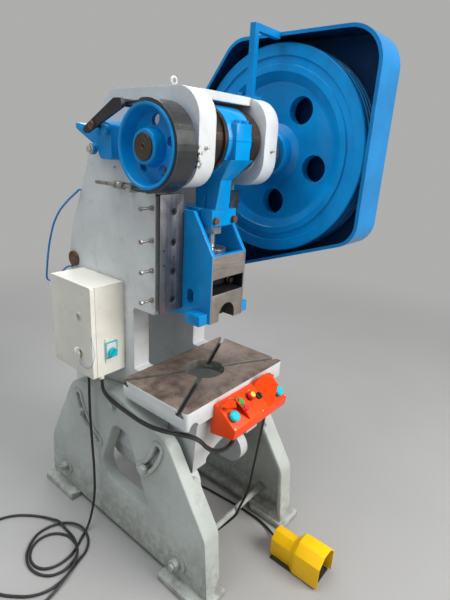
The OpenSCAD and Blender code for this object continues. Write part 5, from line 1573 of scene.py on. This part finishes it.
@dataclass
class Station:
    """The two-hand station: a bent housing with a sloping face, shields over its buttons and its fittings."""

    slope_top: Point = (0.0, -0.392, 0.722)
    slope_degrees: float = 39.2072
    left: float = -0.145
    right: float = 0.175
    outline: Profile = (
        (-0.360, 0.604), (-0.370, 0.602), (-0.463, 0.622), (-0.468, 0.660), (-0.392, 0.722), (-0.360, 0.722))
    back_y: float = -0.361
    bend: float = 0.0035
    sheet: float = 0.002
    palms: Profile = ((-0.118, 0.055), (0.138, 0.066))
    palm_ring: Point = (0.0090, 0.0165, 0.0017)
    pushes: Profile = ((-0.050, 0.024), (-0.044, 0.052))
    push_ring: Point = (0.0114, 0.0145, 0.0046)
    stop: tuple[float, float] = (0.004, 0.026)
    stop_ring: Point = (0.0080, 0.0150, 0.0017)
    cap: Profile = ((0.0, 0.0215), (0.0105, 0.0215), (0.0100, 0.0235), (0.0070, 0.0246), (0.0, 0.0250))
    screws_across: tuple[float, ...] = (-0.138, 0.020, 0.168)
    screws_down: tuple[float, float] = (0.006, 0.092)
    screw: Profile = ((0.0, -0.0004), (0.0034, -0.0004), (0.0034, 0.0010), (0.0024, 0.0019), (0.0, 0.0021))
    shield_plates: tuple[Route, ...] = (
        ((-56, 0, -1), (-57, 90, -1), (-58, 90, 4), (-72, 63, 22), (-103, 16, 42)),
        ((-56, 0, -1), (-103, 16, 42), (-103, 10, 41), (-122, -2, 38), (-144, 1, -1)),
        ((-144, 1, -1), (-122, -2, 38), (-103, 16, 42), (-112, 36, 36), (-134, 20, 22)),
        ((55, 5, -1), (60, -6, 6), (90, -12, 34), (104, 10, 46), (110, 22, 50), (108, 51, 50), (88, 73, 32),
         (76, 90, 16), (59, 89, -1)),
        ((60, -4, -1), (172, -2, -1), (150, -6, 22), (120, -8, 38), (90, -12, 34), (60, -6, 6)),
        ((110, 22, 50), (90, -12, 34), (120, -8, 38), (138, 8, 38)),
    )

    def at(self, across: float, down: float) -> Matrix:
        """Places a fitting on the slope.

        Args:
            across: Distance along X.
            down: Distance down the slope from its top edge.

        Returns:
            The placing, with Z out of the slope.
        """
        turn = Matrix.Rotation(math.radians(self.slope_degrees), 4, "X")
        return Matrix.Translation((across, *self.slope_top[1:])) @ turn @ Matrix.Translation((0, -down, 0))

    def plate(self, bm: BMesh, corners: Sequence[Point]) -> None:
        """Adds one flat piece of sheet.

        Args:
            bm: The mesh that it joins.
            corners: Its corners as distances across, down the slope and above it.
        """
        spots = [self.at(x, d) @ Vector((0, 0, h)) for x, d, h in corners]
        normal = (spots[1] - spots[0]).cross(spots[-1] - spots[0]).normalized() * self.sheet
        near = [bm.verts.new(p) for p in spots]
        far = [bm.verts.new(p - normal) for p in spots]
        bm.faces.new(near)
        bm.faces.new(list(reversed(far)))
        for k in range(len(near)):
            n = (k + 1) % len(near)
            bm.faces.new((near[n], near[k], far[k], far[n]))

    def shields(self, bm: BMesh) -> None:
        """Adds the bent shields beside and above the palm buttons.

        Args:
            bm: The mesh that they join.
        """
        for corners in self.shield_plates:
            self.plate(bm, [(x / 1000, down / 1000, height / 1000) for x, down, height in corners])

    def housing(self) -> None:
        """Makes the housing with both shields."""
        bm = bmesh.new()
        ends = [[bm.verts.new((x, y, z)) for y, z in self.outline] for x in (self.left, self.right)]
        bm.faces.new(ends[0])
        bm.faces.new(list(reversed(ends[1])))
        for k in range(len(self.outline)):
            n = (k + 1) % len(self.outline)
            bm.faces.new((ends[0][n], ends[0][k], ends[1][k], ends[1][n]))
        bmesh.ops.recalc_face_normals(bm, faces=bm.faces)
        front = [e for e in bm.edges if min(v.co.y for v in e.verts) < self.back_y]
        hard = [e for e in front if e.calc_face_angle(0.0) > math.radians(20)]
        bmesh.ops.bevel(bm, geom=hard, offset=self.bend, segments=4, profile=0.5, affect="EDGES")
        self.shields(bm)
        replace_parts(piece_from("station_form", bm, "frame", Finish.ORANGE), "station_housing")

    def ring(self, bm: BMesh, place: tuple[float, float], sizes: Point) -> None:
        """Adds one button's ring.

        Args:
            bm: The mesh that it joins.
            place: The button's place, across and down the slope.
            sizes: The ring's inner and outer radius and its height.
        """
        inner, outer, height = sizes
        profile = ((outer, -0.0005), (outer, height * 0.6), (outer - 0.0012, height),
                   (inner + 0.0008, height), (inner, height * 0.7), (inner, -0.0005))
        lathe(bm, profile, self.at(*place), 36, closed=False)

    def build(self) -> None:
        """Makes the housing and all its fittings."""
        self.housing()
        bm = bmesh.new()
        for place in self.pushes:
            self.ring(bm, place, self.push_ring)
        piece_from("push_bezels", bm, "frame", Finish.BRIGHT)
        bm = bmesh.new()
        for place in self.palms:
            self.ring(bm, place, self.palm_ring)
        self.ring(bm, self.stop, self.stop_ring)
        piece_from("button_collars", bm, "frame", Finish.BLACK)
        bm = bmesh.new()
        lathe(bm, self.cap, self.at(*self.stop), 32)
        piece_from("stop_cap", bm, "stop_button", Finish.LEMON)
        bm = bmesh.new()
        for x in self.screws_across:
            for down in self.screws_down:
                lathe(bm, self.screw, self.at(x, down), 18)
        piece_from("station_screws", bm, "frame", Finish.ZINC)


@dataclass
class GuideFittings:
    """The screws that set the guides, and dark cups painted as shade for the small holes in the guides' front
    faces.
    """

    out_x: float = 0.196
    screw_z: tuple[float, ...] = (1.043, 1.148, 1.250, 1.355)
    washer: Profile = ((0.0, -0.004), (0.0085, -0.004), (0.0085, 0.0015), (0.0, 0.0015))
    nut_seat: float = 0.0015
    nut_across: float = 0.0150
    shank: Profile = ((0.0, 0.008), (0.0048, 0.008), (0.0048, 0.046), (0.0, 0.046))
    head_seat: float = 0.0452
    head_across: float = 0.0145
    head_height: float = 0.0085
    front_y: float = -0.152
    proud: float = 0.0001
    rim: float = 0.0008
    rim_foot: float = -0.0003
    holes: tuple[Point, ...] = ((0.1785, 1.219, 0.0045), (0.180, 1.1686, 0.0045), (0.135, 1.1924, 0.003))

    def setting_screws(self) -> None:
        """Makes the setting screws with their lock nuts, in place of the CAD ones."""
        y = sum(c[1] for c in NODES["gib_adjusters"].bound_box) / 8
        bm = bmesh.new()
        for side in (-1, 1):
            for z in self.screw_z:
                at = frame_at((side * self.out_x, y, z), (side, 0, 0))
                lathe(bm, self.washer, at, 24)
                nut = at @ Matrix.Translation((0, 0, self.nut_seat))
                hex_head(bm, self.nut_across, self.head_height, nut)
                lathe(bm, self.shank, at, 20)
                head = at @ Matrix.Translation((0, 0, self.head_seat))
                hex_head(bm, self.head_across, self.head_height, head)
        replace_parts(piece_from("setting_screws", bm, "frame", Finish.TURNED), "gib_adjusters")

    def hole_shade_cups(self) -> None:
        """Makes the small holes as shallow cups, a hair proud of the faces, coloured near black as painted
        shade for the holes' depth.
        """
        bm = bmesh.new()
        for side in (-1, 1):
            for x, z, r in self.holes:
                at = frame_at((side * x, self.front_y - self.proud, z), (0, -1, 0))
                cup = ((0.0, 0.0), (r, 0.0), (r + self.rim, self.proud), (r + self.rim, self.rim_foot),
                       (0.0, self.rim_foot))
                lathe(bm, cup, at, 24)
        # Painted shade: the cups are blacked steel to stand for the dark inside of the holes.
        piece_from("guide_hole_shade_cups", bm, "frame", Finish.BLACKED)

    def build(self) -> None:
        """Makes both."""
        self.setting_screws()
        self.hole_shade_cups()


def main() -> None:
    """Builds the scene, piece by piece."""
    logging.basicConfig(level=logging.INFO, format="%(name)s: %(message)s")
    Studio().build()
    log.info("studio set")
    Cords().build()
    log.info("cords laid")
    Solids().build()
    Castings().build()
    log.info("castings rounded")
    for fittings in (BrakeFittings(), BoxFittings(), Station(), GuideFittings()):
        fittings.build()
        log.info("%s made", type(fittings).__name__)


if __name__ == "__main__":
    main()
